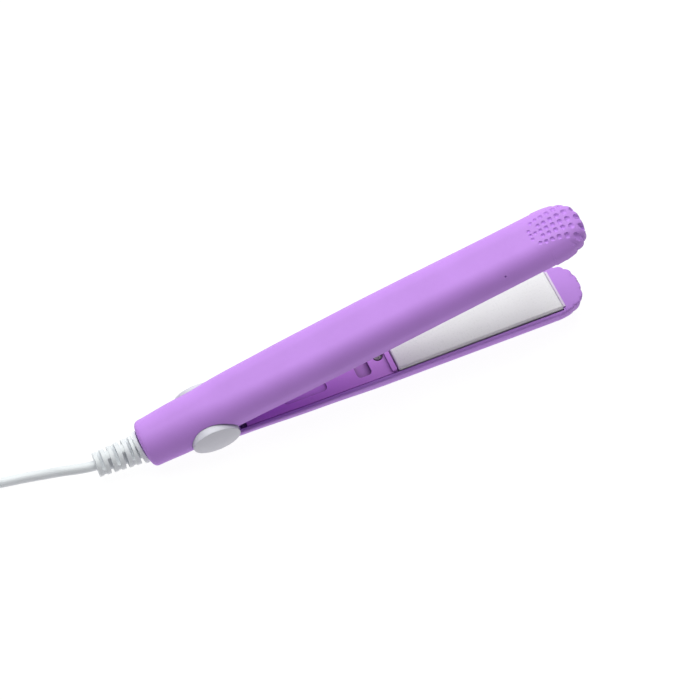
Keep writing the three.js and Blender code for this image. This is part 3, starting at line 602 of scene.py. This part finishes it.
def lower_shell():
    shell = lower_outer()
    carve_tip(shell, -1)
    combine(shell, [fork_room(), behind_heel(), arm_hollow(-1), *cap_rooms([0])], "DIFFERENCE")
    knuckle = rod("Y", KNUCKLE_RADIUS, -KNUCKLE_Y, KNUCKLE_Y)
    neck = box(*NECK_X, -KNUCKLE_Y, KNUCKLE_Y, NECK_BOTTOM, MATING_Z - RIM_DEPTH)
    combine(shell, [knuckle, neck], "UNION")
    spring_ends = (-SPRING_SLOT_Y, SPRING_SLOT_Y)
    spring_room = rod("Y", KNUCKLE_RADIUS + SPRING_CLEARANCE, *spring_ends)
    spring_mouth = box(-KNUCKLE_RADIUS - 1, 0, *spring_ends, *SPRING_MOUTH_Z)
    pin_room = rod("Y", PIN_RADIUS + PIN_CLEARANCE, -PIN_REACH, PIN_REACH)
    combine(shell, [spring_room, spring_mouth, pin_room], "DIFFERENCE")
    return shell


# ---- Hinge caps -----------------------------------------------------------------------------
CAP_INNER_Y = 7.3
CAP_RIM_Y = {-1: 10.1, 1: 8.9}
CAP_FOOT = [(0, 0.1), (0.08, 0.02), (0.5, 0)]  # the wall's foot: (height, inset)
CAP_SHOULDER = (0.5, 0.02)  # the wall's top: (how far below the rim, inset)
CAP_EDGE, CAP_EDGE_INSET, CAP_EDGE_STEPS = 0.3, 0.05, 6
CAP_FACE_INSET, CAP_FACE_REACH, CAP_FACE_STEPS = 0.35, 5.1, 12
CAP_DOME = 0.5
CAP_HOLE_Y, CAP_HOLE_CLEARANCE = (6, 8.7), 0.3


def make_cap(side):
    """An oval cap, near (-1) or far (+1): an upright wall, a crisp edge and a gently domed face."""
    rim_y = CAP_RIM_Y[side]
    layers = [(CAP_INNER_Y + height, inset) for height, inset in CAP_FOOT]
    layers.append((rim_y - CAP_SHOULDER[0], CAP_SHOULDER[1]))
    for i in range(CAP_EDGE_STEPS + 1):
        angle = i / CAP_EDGE_STEPS * math.pi / 2
        layers.append((rim_y - CAP_EDGE + CAP_EDGE * math.sin(angle),
                       CAP_EDGE_INSET + CAP_EDGE * (1 - math.cos(angle))))
    for i in range(1, CAP_FACE_STEPS + 1):
        t = i / CAP_FACE_STEPS
        layers.append((rim_y + CAP_DOME * math.sin(t * math.pi / 2),
                       CAP_FACE_INSET + CAP_FACE_REACH * t))
    rings = []
    for y, inset in layers:
        outline = circle(CAP_AHEAD, -CAP_BELOW, CAP_LONG - inset, CAP_SHORT - inset, steps=HINGE_STEPS)
        rings.append([(x, side * y, z) for x, z in outline])
    cap = loft("cap", rings)
    ends = sorted(side * y for y in CAP_HOLE_Y)
    combine(cap, [rod("Y", PIN_RADIUS + CAP_HOLE_CLEARANCE, *ends)], "DIFFERENCE")
    return cap


# ---- Plates ---------------------------------------------------------------------------------
PLATE_X, PLATE_HALF_WIDTH, PLATE_CORNER = (65.9, 126.42), 8.0, 0.6
PLATE_FACE, PLATE_LIP, PLATE_BASE = 0.15, 1.5, 3.0
# From a plate's base to its face: (depth, how far in from its sides, how far in from its ends).
PLATE_LAYERS = [
    (PLATE_BASE, 1.55, 2.0), (PLATE_LIP, 1.55, 2.0), (PLATE_LIP, 0.0, 0.0), (0.62, 0.0, 0.0),
    (0.56, 0.02, 0.02), (0.2, 0.5, 0.32), (0.155, 0.62, 0.44), (PLATE_FACE, 0.75, 0.56),
]


def make_plate(side):
    """A plate on a narrower base, with chamfered edges round its face."""
    rings = []
    for depth, aside, ahead in PLATE_LAYERS:
        half = PLATE_HALF_WIDTH - aside
        outline = rounded_rectangle(PLATE_X[0] + ahead, PLATE_X[1] - ahead, -half, half, PLATE_CORNER)
        rings.append([(x, y, MATING_Z + side * depth) for x, y in outline])
    return loft("plate", rings)


# ---- Inner covers ---------------------------------------------------------------------------
COVER_X, COVER_STEP, COVER_GAP = (12, 65.3), 4, 0.28
COVER_TOP, COVER_BOTTOM = 1.35, 3.2
COVER_OVERLAP = 0.5  # how deep the pieces that are joined to a cover reach into it
PAST_COVER_X = (0, 80)
RIB_X, RIB_TOP, RIB_HALF_WIDTH, RIB_CORNER = 63.6, 0.35, 7.7, 0.4
TROUGH_X, TROUGH_HALF_WIDTH, TROUGH_FLOOR, TROUGH_CORNER = (26, 41.5), 5.4, 2.3, 1.6
POCKET_X, POCKET_HALF_WIDTH, POCKET_FLOOR, POCKET_CORNER = (52.2, 57.4), 5.6, 3.8, 1.4
POCKET_WALL, POCKET_WALL_CORNER, POCKET_FLOOR_WALL = 0.8, 1.8, 0.3
COVER_SCREWS_X = (61.4, 18)
SCREW_SEAT, SCREW_SEAT_FLOOR, SCREW_SEAT_STEPS = 1.9, 2.45, 40
SCREW_BORE, SCREW_BORE_STEPS = 1.1, 24


def make_cover(side):
    """An inner cover, close inside its arm's rim: a trough, a deep pocket, a rib and screw seats."""
    def slab(outline, top, floor):
        return prism("slab", outline, "Z", *sorted((MATING_Z + side * top, MATING_Z + side * floor)))

    wall, stations = RIM_WALL + COVER_GAP, spread(*COVER_X, COVER_STEP)
    cover = loft("cover", [hollow_ring(side, x, wall, ROOF_WALL, 0) for x in stations])
    wide = rounded_rectangle(*PAST_COVER_X, -ASIDE, ASIDE, 1)
    combine(cover, [slab(wide, COVER_TOP, COVER_BOTTOM)], "INTERSECT")
    (start, end), half = POCKET_X, POCKET_HALF_WIDTH
    walls = rounded_rectangle(start - POCKET_WALL, end + POCKET_WALL, -half - POCKET_WALL,
                              half + POCKET_WALL, POCKET_WALL_CORNER)
    rib = rounded_rectangle(RIB_X, COVER_X[1], -RIB_HALF_WIDTH, RIB_HALF_WIDTH, RIB_CORNER)
    joint = COVER_BOTTOM - COVER_OVERLAP
    combine(cover, [slab(walls, joint, POCKET_FLOOR + POCKET_FLOOR_WALL)], "UNION")
    combine(cover, [slab(rib, RIB_TOP, joint)], "UNION")
    cuts = [slab(rounded_rectangle(start, end, -half, half, POCKET_CORNER), 0, POCKET_FLOOR)]
    trough = rounded_rectangle(*TROUGH_X, -TROUGH_HALF_WIDTH, TROUGH_HALF_WIDTH, TROUGH_CORNER)
    cuts.append(slab(trough, 0, TROUGH_FLOOR))
    for x in COVER_SCREWS_X:
        cuts.append(slab(circle(x, 0, SCREW_SEAT, steps=SCREW_SEAT_STEPS), 0, SCREW_SEAT_FLOOR))
        cuts.append(slab(circle(x, 0, SCREW_BORE, steps=SCREW_BORE_STEPS), 0, COVER_BOTTOM + 1))
    combine(cover, cuts, "DIFFERENCE")
    return cover


# ---- Boot -----------------------------------------------------------------------------------
BOOT_LONG = 17.14
BOOT_INSIDE, BOOT_START, BOOT_BEND = 3.6, 0.4, -3.2  # along the barrel, from its rear end
BOOT_DROP = 0.35
# (start, stop, radius) along the boot's middle line.
BOOT_FLANGE, BOOT_NECK, BOOT_BLOCK = (0, 1.1, 5.2), (1.1, 3.7, 2.55), (3.75, 5.4, 5.6)
BOOT_RIBS, BOOT_SLOT_SHARE = 6, 0.42
BOOT_ROOT, BOOT_END = 4.95, 4.15  # the first and last ribs' radii
BOOT_EDGE = 0.12
BOOT_WEB, BOOT_WEB_INSET, BOOT_WEB_STEP = 1.5, 0.25, 0.01
LINE_STEPS = 24


def boot_points():
    """The boot's middle line: straight out of the barrel, then bending level with the table."""
    turn = Matrix.Rotation(-OPENING, 3, "Y")
    inside, root, bend = (turn @ Vector((REAR_X + ahead, 0, BARREL_CENTRE_Z))
                          for ahead in (BOOT_INSIDE, BOOT_START, BOOT_BEND))
    end = Vector((root.x - BOOT_LONG, 0, bend.z - BOOT_DROP))
    return [inside, root, bend, bend.lerp(end, 0.5), end]


def smooth_line(points):
    """Points along a smooth curve through a few points."""
    ends = [points[0] * 2 - points[1], *points, points[-1] * 2 - points[-2]]
    line = []
    for a, b, c, d in zip(ends, ends[1:], ends[2:], ends[3:]):
        for i in range(LINE_STEPS):
            t = i / LINE_STEPS
            line.append(0.5 * (2 * b + (c - a) * t + (2 * a - 5 * b + 4 * c - d) * t * t
                               + (3 * b - a - 3 * c + d) * t ** 3))
    return line + [points[-1]]


def place_along(line, distance):
    """The point and direction at a distance along a line."""
    for a, b in zip(line, line[1:]):
        step = (b - a).length
        if distance <= step or b is line[-1]:
            return a.lerp(b, distance / step), (b - a).normalized()
        distance -= step


def boot_bands(length):
    """The boot's thick stretches, from its flange to its last rib."""
    bands = [BOOT_FLANGE, BOOT_NECK, BOOT_BLOCK]
    pitch = (length - BOOT_BLOCK[1]) / BOOT_RIBS
    for i in range(BOOT_RIBS):
        stop = BOOT_BLOCK[1] + (i + 1) * pitch
        radius = BOOT_ROOT + (BOOT_END - BOOT_ROOT) * i / (BOOT_RIBS - 1)
        bands.append((stop - pitch * (1 - BOOT_SLOT_SHARE), stop, radius))
    return bands


def boot_rings(bands):
    """The boot's rings: (distance, radius, web), with the webs upright and level in turn."""
    rings = []
    for i, (start, stop, radius) in enumerate(bands):
        rings += [(start, radius - BOOT_EDGE, None), (start + BOOT_EDGE, radius, None),
                  (stop - BOOT_EDGE, radius, None), (stop, radius - BOOT_EDGE, None)]
        if 2 <= i < len(bands) - 1:
            web = "yz"[i % 2]
            next_start, _, next_radius = bands[i + 1]
            rings += [(stop + BOOT_WEB_STEP, radius - BOOT_WEB_INSET, web),
                      (next_start - BOOT_WEB_STEP, next_radius - BOOT_WEB_INSET, web)]
    return rings


def make_boot():
    """A flange, a neck and a block, then six ribs, with narrow webs between them."""
    line = smooth_line(boot_points())
    length = sum((b - a).length for a, b in zip(line, line[1:]))
    points = []
    for distance, radius, web in boot_rings(boot_bands(length)):
        centre, direction = place_along(line, distance)
        up = direction.cross(Vector((0, 1, 0))).normalized()
        ring = []
        for y, z in circle(0, 0, radius):
            if web == "y":
                y = max(-BOOT_WEB, min(BOOT_WEB, y))
            if web == "z":
                z = max(-BOOT_WEB, min(BOOT_WEB, z))
            ring.append(centre + Vector((0, y, 0)) + up * z)
        points.append(ring)
    return loft("boot", points)


# ---- Cord -----------------------------------------------------------------------------------
CORD_RADIUS = 1.7
CORD_ROUND_STEPS, CORD_LONG_STEPS = 6, 5
HANK_MIDDLE = (-112.9, 3.0)
HANK_REACH = 20.4
HANK_RADII = (13.6, 10.2)
HANK_BASE = 0.9
HANK_PINCH = 3.3
# Each lap's layer and ring.
HANK_SLOTS = [(0, 0), (0, 1), (1, 1), (2, 1), (3, 1), (3, 0), (2, 0), (1, 0)]
HANK_RUN_STEPS = 8
HANK_TURN = 22.5  # degrees between points round a loop
CHANGE_LONG, CHANGE_STAGGER = 14, 4.5
TAIL_BEND, TAIL_STEPS, TAIL_END = 10.2, 4, 2.5
PLUG_X, PLUG_Y, PLUG_Z = (-189, -155.5), 1.5, TABLE_Z + 6.45


def hank_height(layer):
    return TABLE_Z + HANK_BASE + CORD_RADIUS + CORD_RADIUS * 2 * layer


def run_point(x, radius, height, side):
    """A point of one of the hank's straight runs, which the tie pinches in the middle."""
    pinch = HANK_PINCH * (1 - (x / HANK_REACH) ** 2) ** 2
    return Vector((HANK_MIDDLE[0] + x, HANK_MIDDLE[1] + side * (radius - pinch), height))


def loop_points(side, radius, height, start, stop):
    """Points round one end of the hank, between two angles in degrees, without the ends."""
    centre = Vector((HANK_MIDDLE[0] + side * HANK_REACH, HANK_MIDDLE[1], height))
    count = max(2, round(abs(stop - start) / HANK_TURN))
    points = []
    for i in range(1, count):
        angle = math.radians(start + (stop - start) * i / count)
        points.append(centre + Vector((radius * math.cos(angle), radius * math.sin(angle), 0)))
    return points


def hank_points():
    """Eight laps, each lying beside or on the one before; the last leaves for the plug."""
    steps = [HANK_REACH - HANK_REACH * i * 2 / HANK_RUN_STEPS for i in range(HANK_RUN_STEPS + 1)]
    places = [(HANK_RADII[ring], hank_height(layer)) for layer, ring in HANK_SLOTS]
    points = []
    for lap, (radius, height) in enumerate(places):
        points += [run_point(x, radius, height, 1) for x in steps]
        if lap == len(places) - 1:
            break
        points += loop_points(-1, radius, height, 90, 270)
        next_radius, next_height = places[lap + 1]
        start = -HANK_REACH + CHANGE_STAGGER * (len(places) - 2 - lap)
        for x in reversed(steps):
            t = smooth_step((x - start) / CHANGE_LONG)
            blended = (radius + (next_radius - radius) * t, height + (next_height - height) * t)
            points.append(run_point(x, *blended, -1))
        points += loop_points(1, next_radius, next_height, -90, 90)
    return points + tail_points(*places[-1])


def tail_points(radius, height):
    """Off the hank's end loop and round into the plug."""
    reach = radius + TAIL_BEND
    leave = math.pi - math.asin((PLUG_Y - HANK_MIDDLE[1] + TAIL_BEND) / reach)
    points = loop_points(-1, radius, height, 90, math.degrees(leave))
    centre = Vector((HANK_MIDDLE[0] - HANK_REACH, HANK_MIDDLE[1], height))
    centre += Vector((math.cos(leave), math.sin(leave), 0)) * reach
    start = leave - math.pi
    for i in range(TAIL_STEPS + 1):
        angle = start + (-math.pi / 2 - start) * i / TAIL_STEPS
        rise = smooth_step(i / TAIL_STEPS) * (PLUG_Z - height)
        points.append(centre + Vector((math.cos(angle) * TAIL_BEND, math.sin(angle) * TAIL_BEND, rise)))
    points.append(points[-1] + Vector((-TAIL_END, 0, 0)))
    return points


def cord_points():
    """The free stretch: out of the boot, down to the table and along it into the hank."""
    end = boot_points()[-1]
    table = TABLE_Z + CORD_RADIUS
    free = [(end.x + 3, 0, end.z), (end.x - 0.3, 0, end.z), (end.x - 5, 0.9, end.z - 0.3),
            (-48.5, 2.5, table + 3.3), (-54.5, 5.1, table + 0.9), (-60.5, 6.8, table + 0.1),
            (-68.0, 8.2, table), (-75.0, 9.8, table), (-80.0, 11.4, table + 0.2),
            (-84.5, 13.5, table + 0.6), (-88.3, 15.7, table + HANK_BASE)]
    return [Vector(point) for point in free] + hank_points()


def make_cord():
    curve = bpy.data.curves.new("cord", "CURVE")
    curve.dimensions = "3D"
    curve.bevel_depth = CORD_RADIUS * MM
    curve.bevel_resolution = CORD_ROUND_STEPS
    curve.resolution_u = CORD_LONG_STEPS
    curve.use_fill_caps = True
    points = cord_points()
    spline = curve.splines.new("BEZIER")
    spline.bezier_points.add(len(points) - 1)
    for knot, point in zip(spline.bezier_points, points):
        knot.co = LOWER @ point
        knot.handle_left_type = "AUTO"
        knot.handle_right_type = "AUTO"
    cord = bpy.data.objects.new("power_cord", curve)
    bpy.context.scene.collection.objects.link(cord)
    return cord


# ---- The hank's tie, and the plug -------------------------------------------------------------
TIE_HALF_LONG, TIE_HALF_WIDTH = 2.6, 12.9
TIE_LOW, TIE_HIGH = TABLE_Z + 0.02, TABLE_Z + 15.6
TIE_THICK, TIE_CORNER = 0.6, 2.4
PLUG_HALF_WIDTH, PLUG_HALF_HIGH = 11.5, 6.25
PLUG_STEPS = 40
PLUG_END_HALF_WIDTH, PLUG_END_HALF_HIGH = 3.9, 3.4
PLUG_CORNER_SHARE, PLUG_CORNER_STEPS = 0.62, 8
PLUG_FACE_ROUND = 0.09  # how much narrower its face is than its grip, as a share
GRIP_DEPTH, GRIP_WAVES = 0.45, 4
# Where they start and how long they are, as shares of the plug's length from its face.
PLUG_FACE_LONG = 0.05
GRIP_START, GRIP_LONG = 0.12, 0.3
PLUG_TAPER_START, PLUG_TAPER_LONG = 0.38, 0.6
BLADE_APART = 12.7
BLADE_SLOT_DEEP, BLADE_SLOT_HALF_WIDTH, BLADE_SLOT_HALF_HIGH = 3, 1.05, 3.45


def make_tie():
    """A flat band round the hank's waist."""
    low_y, high_y = HANK_MIDDLE[1] - TIE_HALF_WIDTH, HANK_MIDDLE[1] + TIE_HALF_WIDTH

    def outline(inset):
        return rounded_rectangle(low_y + inset, high_y - inset,
                                 TIE_LOW + inset, TIE_HIGH - inset, TIE_CORNER)

    x0, x1 = HANK_MIDDLE[0] - TIE_HALF_LONG, HANK_MIDDLE[0] + TIE_HALF_LONG
    band = prism("tie", outline(0), "X", x0, x1)
    combine(band, [prism("tie_hole", outline(TIE_THICK), "X", x0 - 1, x1 + 1)], "DIFFERENCE")
    return band


def plug_ring(t):
    """The plug's ring at a share of its length, from its face at the blades to the cord."""
    x = PLUG_X[0] + (PLUG_X[1] - PLUG_X[0]) * t
    taper = smooth_step((t - PLUG_TAPER_START) / PLUG_TAPER_LONG)
    face = 1 - PLUG_FACE_ROUND * (1 - min(1, t / PLUG_FACE_LONG)) ** 2
    half_width = (PLUG_HALF_WIDTH + (PLUG_END_HALF_WIDTH - PLUG_HALF_WIDTH) * taper) * face
    half_high = (PLUG_HALF_HIGH + (PLUG_END_HALF_HIGH - PLUG_HALF_HIGH) * taper) * face
    grip = (t - GRIP_START) / GRIP_LONG
    if 0 < grip < 1:
        half_width -= GRIP_DEPTH * abs(math.sin(grip * math.pi * GRIP_WAVES))
    corner = min(half_width, half_high) * PLUG_CORNER_SHARE
    outline = rounded_rectangle(-half_width, half_width, -half_high, half_high,
                                corner, PLUG_CORNER_STEPS)
    return [(x, PLUG_Y + y, PLUG_Z + z) for y, z in outline]


def make_plug():
    """A two-blade plug: a rounded grip that narrows into the cord."""
    plug = loft("plug", [plug_ring(i / PLUG_STEPS) for i in range(PLUG_STEPS + 1)])
    slots = []
    for side in (-1, 1):
        y = PLUG_Y + side * BLADE_APART / 2
        slots.append(box(PLUG_X[0] - 1, PLUG_X[0] + BLADE_SLOT_DEEP,
                         y - BLADE_SLOT_HALF_WIDTH, y + BLADE_SLOT_HALF_WIDTH,
                         PLUG_Z - BLADE_SLOT_HALF_HIGH, PLUG_Z + BLADE_SLOT_HALF_HIGH))
    combine(plug, slots, "DIFFERENCE")
    return plug


# ---- Materials ------------------------------------------------------------------------------
DRIFT_SCALE, DRIFT_DETAIL, GRAIN_DETAIL = 55.0, 3.0, 2.0
NOISE_RANGE = (0.3, 0.7)  # what the noise mostly lies between
GLOSS_SWING, LEAST_ROUGHNESS = 0.05, 0.02
GRAIN_DEPTH = 0.0001  # metres
PAINTED_SHADE_REACH = 0.006  # how near a wall has to be for painted shade to darken a surface, in metres


def noise_node(tree, place, scale, detail):
    node = tree.nodes.new("ShaderNodeTexNoise")
    node.inputs["Scale"].default_value = scale
    node.inputs["Detail"].default_value = detail
    tree.links.new(place.outputs["Object"], node.inputs["Vector"])
    return node


def range_node(tree, noise, low, high):
    """A noise stretched to lie between two values."""
    node = tree.nodes.new("ShaderNodeMapRange")
    limits = {"From Min": NOISE_RANGE[0], "From Max": NOISE_RANGE[1], "To Min": low, "To Max": high}
    for socket, value in limits.items():
        node.inputs[socket].default_value = value
    tree.links.new(noise.outputs["Fac"], node.inputs["Value"])
    return node


def tint_node(tree, noise, colour, drift):
    """A colour that drifts a little darker and lighter with a noise."""
    node = tree.nodes.new("ShaderNodeMix")
    node.data_type = "RGBA"
    node.inputs["A"].default_value = (*(value * (1 - drift) for value in colour), 1)
    node.inputs["B"].default_value = (*(min(1, value * (1 + drift)) for value in colour), 1)
    tree.links.new(range_node(tree, noise, 0.0, 1.0).outputs["Result"], node.inputs["Factor"])
    return node


def painted_shade_node(tree, tint, distance):
    """A colour with painted shade: made darker where the piece's own walls stand close round it."""
    node = tree.nodes.new("ShaderNodeAmbientOcclusion")
    node.only_local = True
    node.inputs["Distance"].default_value = distance
    tree.links.new(tint.outputs["Result"], node.inputs["Color"])
    return node


def moulded(name, colour, roughness, grain=900.0, bump=0.2, drift=0.04, shade_reach=0.0, **constants):
    """A material with fine grain and slow drifts of colour and gloss, and, where asked, painted shade
    deep in recesses.
    """
    material = bpy.data.materials.new(name)
    material.use_nodes = True
    tree = material.node_tree
    shader = tree.nodes["Principled BSDF"]
    for socket, value in constants.items():
        shader.inputs[socket.replace("_", " ")].default_value = value
    place = tree.nodes.new("ShaderNodeTexCoord")
    slow = noise_node(tree, place, DRIFT_SCALE, DRIFT_DETAIL)
    fine = noise_node(tree, place, grain, GRAIN_DETAIL)
    tint = tint_node(tree, slow, colour, drift)
    # painted shade: an ambient-occlusion node darkens the colour near the piece's own walls
    surface = painted_shade_node(tree, tint, shade_reach).outputs["Color"] if shade_reach else tint.outputs["Result"]
    tree.links.new(surface, shader.inputs["Base Color"])
    glossy, dull = max(LEAST_ROUGHNESS, roughness - GLOSS_SWING), min(1.0, roughness + GLOSS_SWING)
    tree.links.new(range_node(tree, fine, glossy, dull).outputs["Result"], shader.inputs["Roughness"])
    relief = tree.nodes.new("ShaderNodeBump")
    relief.inputs["Strength"].default_value = bump
    relief.inputs["Distance"].default_value = GRAIN_DEPTH
    tree.links.new(fine.outputs["Fac"], relief.inputs["Height"])
    tree.links.new(relief.outputs["Normal"], shader.inputs["Normal"])
    return material


def metal(name, colour, roughness):
    return moulded(name, colour, roughness, grain=1400.0, bump=0.15, drift=0.05, Metallic=1.0)


LILAC = moulded("lilac_soft_touch", (0.52, 0.252, 0.765), 0.55, Specular_IOR_Level=0.2)
# The inner covers' lilac gets painted shade in their pocket, trough and screw seats.
COVER_LILAC = moulded("inner_cover_lilac", (0.60, 0.23, 0.80), 0.55, shade_reach=PAINTED_SHADE_REACH)
CERAMIC = moulded("ceramic_coating", (0.76, 0.745, 0.775), 0.3, grain=1600.0, bump=0.1, drift=0.015)
HOLDER = moulded("plate_holder", (0.70, 0.58, 0.78), 0.5)
CAP_WHITE = moulded("cap_white", (0.62, 0.61, 0.69), 0.35, grain=1200.0, bump=0.1)
RUBBER_WHITE = moulded("white_rubber", (0.74, 0.76, 0.80), 0.45, grain=700.0)
CORD_WHITE = moulded("cord_white", (0.74, 0.76, 0.80), 0.4, grain=500.0)
STEEL = metal("zinc_plated_steel", (0.50, 0.50, 0.52), 0.35)
# The cover screws' steel is made near black to paint the shade of the seats they sit deep in.
SHADE_DARKENED_STEEL = metal("steel_darkened_as_painted_shade", (0.12, 0.10, 0.13), 0.45)
BRASS = metal("plug_brass", (0.58, 0.40, 0.12), 0.3)
HEATER_FILM = moulded("heater_film", (0.55, 0.36, 0.10), 0.4, grain=300.0)
SILICONE = moulded("red_silicone", (0.45, 0.06, 0.04), 0.6)
SLEEVE = moulded("glass_sleeve", (0.78, 0.74, 0.62), 0.8, grain=2200.0, bump=0.6)
CLAMP_WHITE = moulded("clamp_white", (0.68, 0.68, 0.70), 0.5)
TIE_BLACK = moulded("tie_black", (0.02, 0.02, 0.022), 0.5)

# The CAD nodes that stay: those that each arm has, and the others.
ARM_NODES = {
    "plate_holder": HOLDER, "heater": HEATER_FILM, "heater_clip": STEEL,
    "float_pad_rear": SILICONE, "float_pad_front": SILICONE, "cover_screw_front": SHADE_DARKENED_STEEL,
    "cover_screw_rear": SHADE_DARKENED_STEEL, "heater_leads": SLEEVE,
}
OTHER_NODES = {
    "thermal_fuse": STEEL, "cord_clamp": CLAMP_WHITE, "cord_clamp_screw_near": STEEL,
    "cord_clamp_screw_far": STEEL, "pivot_pin": STEEL, "torsion_spring": STEEL,
    "plug_blade_near": BRASS, "plug_blade_far": BRASS,
}
WELD_DISTANCE, EDGE_WIDTH = 0.00001, 0.00015  # metres
EDGE_STEPS = 2


def finish_node(name, material):
    """A better finish and softly broken edges for a CAD node that stays."""
    node = bpy.data.objects[name]
    node.data.materials.clear()
    node.data.materials.append(material)
    weld = node.modifiers.new("weld", "WELD")
    weld.merge_threshold = WELD_DISTANCE
    edges = node.modifiers.new("edges", "BEVEL")
    edges.limit_method = "ANGLE"
    edges.angle_limit = SMOOTH_ANGLE
    edges.width = EDGE_WIDTH
    edges.segments = EDGE_STEPS


# ---- Stage ----------------------------------------------------------------------------------
FLOOR_REACH, FLOOR_THICK = 2000, 5
FLOOR_TONE, FLOOR_GLOW = (0.08, 0.08, 0.08), 0.95
WORLD_GLOW = 0.2
KEY_PLACE, KEY_AIM = Vector((0.02, 0.43, 0.8)), Vector((0.02, 0, 0.01))  # metres
KEY_SIZE, KEY_POWER, KEY_COLOUR = 1.05, 12.0, (0.97, 1.0, 0.96)
WHITE = (1, 1, 1, 1)


def make_floor():
    reach = FLOOR_REACH
    square = [(-reach, -reach), (reach, -reach), (reach, reach), (-reach, reach)]
    floor = prism("floor", square, "Z", TABLE_Z - FLOOR_THICK, TABLE_Z)
    floor.data.transform(LOWER)
    paper = moulded("floor", FLOOR_TONE, 0.9, Emission_Color=WHITE, Emission_Strength=FLOOR_GLOW)
    floor.data.materials.append(paper)


def make_key_light():
    light = bpy.data.objects.new("key", bpy.data.lights.new("key", "AREA"))
    light.data.size = KEY_SIZE
    light.data.energy = KEY_POWER
    light.data.color = KEY_COLOUR
    light.location = KEY_PLACE
    light.rotation_euler = (KEY_AIM - KEY_PLACE).to_track_quat("-Z", "Y").to_euler()
    bpy.context.scene.collection.objects.link(light)


def make_stage():
    make_floor()
    world = bpy.data.worlds.new("world")
    bpy.context.scene.world = world
    world.use_nodes = True
    background = world.node_tree.nodes["Background"]
    background.inputs["Color"].default_value = WHITE
    background.inputs["Strength"].default_value = WORLD_GLOW
    bpy.context.scene.view_settings.view_transform = "Standard"
    make_key_light()


# ---- Build ----------------------------------------------------------------------------------
def build_cord():
    """The cord, with its tie and plug on it, and the boot that it comes out of."""
    cord = make_cord()
    tie = place_piece(make_tie(), "hank_tie_band", LOWER, "handle", TIE_BLACK,
                      ["hank_tie"])
    plug = place_piece(make_plug(), "plug_grip", LOWER, "handle", RUBBER_WHITE,
                       ["plug_body"])
    place_piece(make_boot(), "cord_boot", LOWER, "handle", RUBBER_WHITE,
                ["strain_relief"])
    cord.data.materials.append(CORD_WHITE)
    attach(cord, "handle")
    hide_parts("cord", "cord_hank")


def build_arms():
    place_piece(upper_shell(), "upper_shell_skin", UPPER, "handle", LILAC,
                ["upper_shell"])
    place_piece(lower_shell(), "lower_shell_skin", LOWER, "jaw", LILAC,
                ["lower_shell"])
    for side, arm, place, body in ((1, "upper", UPPER, "handle"), (-1, "lower", LOWER, "jaw")):
        place_piece(make_plate(side), arm + "_plate_skin", place, arm + "_plate_float", CERAMIC,
                    [arm + "_plate"])
        place_piece(make_cover(side), arm + "_cover_skin", place, body, COVER_LILAC,
                    [arm + "_inner_cover"])
        for part, material in ARM_NODES.items():
            finish_node(arm + "_" + part, material)
    for name, material in OTHER_NODES.items():
        finish_node(name, material)
    for side, end in ((-1, "near"), (1, "far")):
        place_piece(make_cap(side), "pivot_cap_skin_" + end, LOWER, "jaw", CAP_WHITE,
                    ["pivot_cap_" + end])


make_camera()
build_cord()
build_arms()
make_stage()
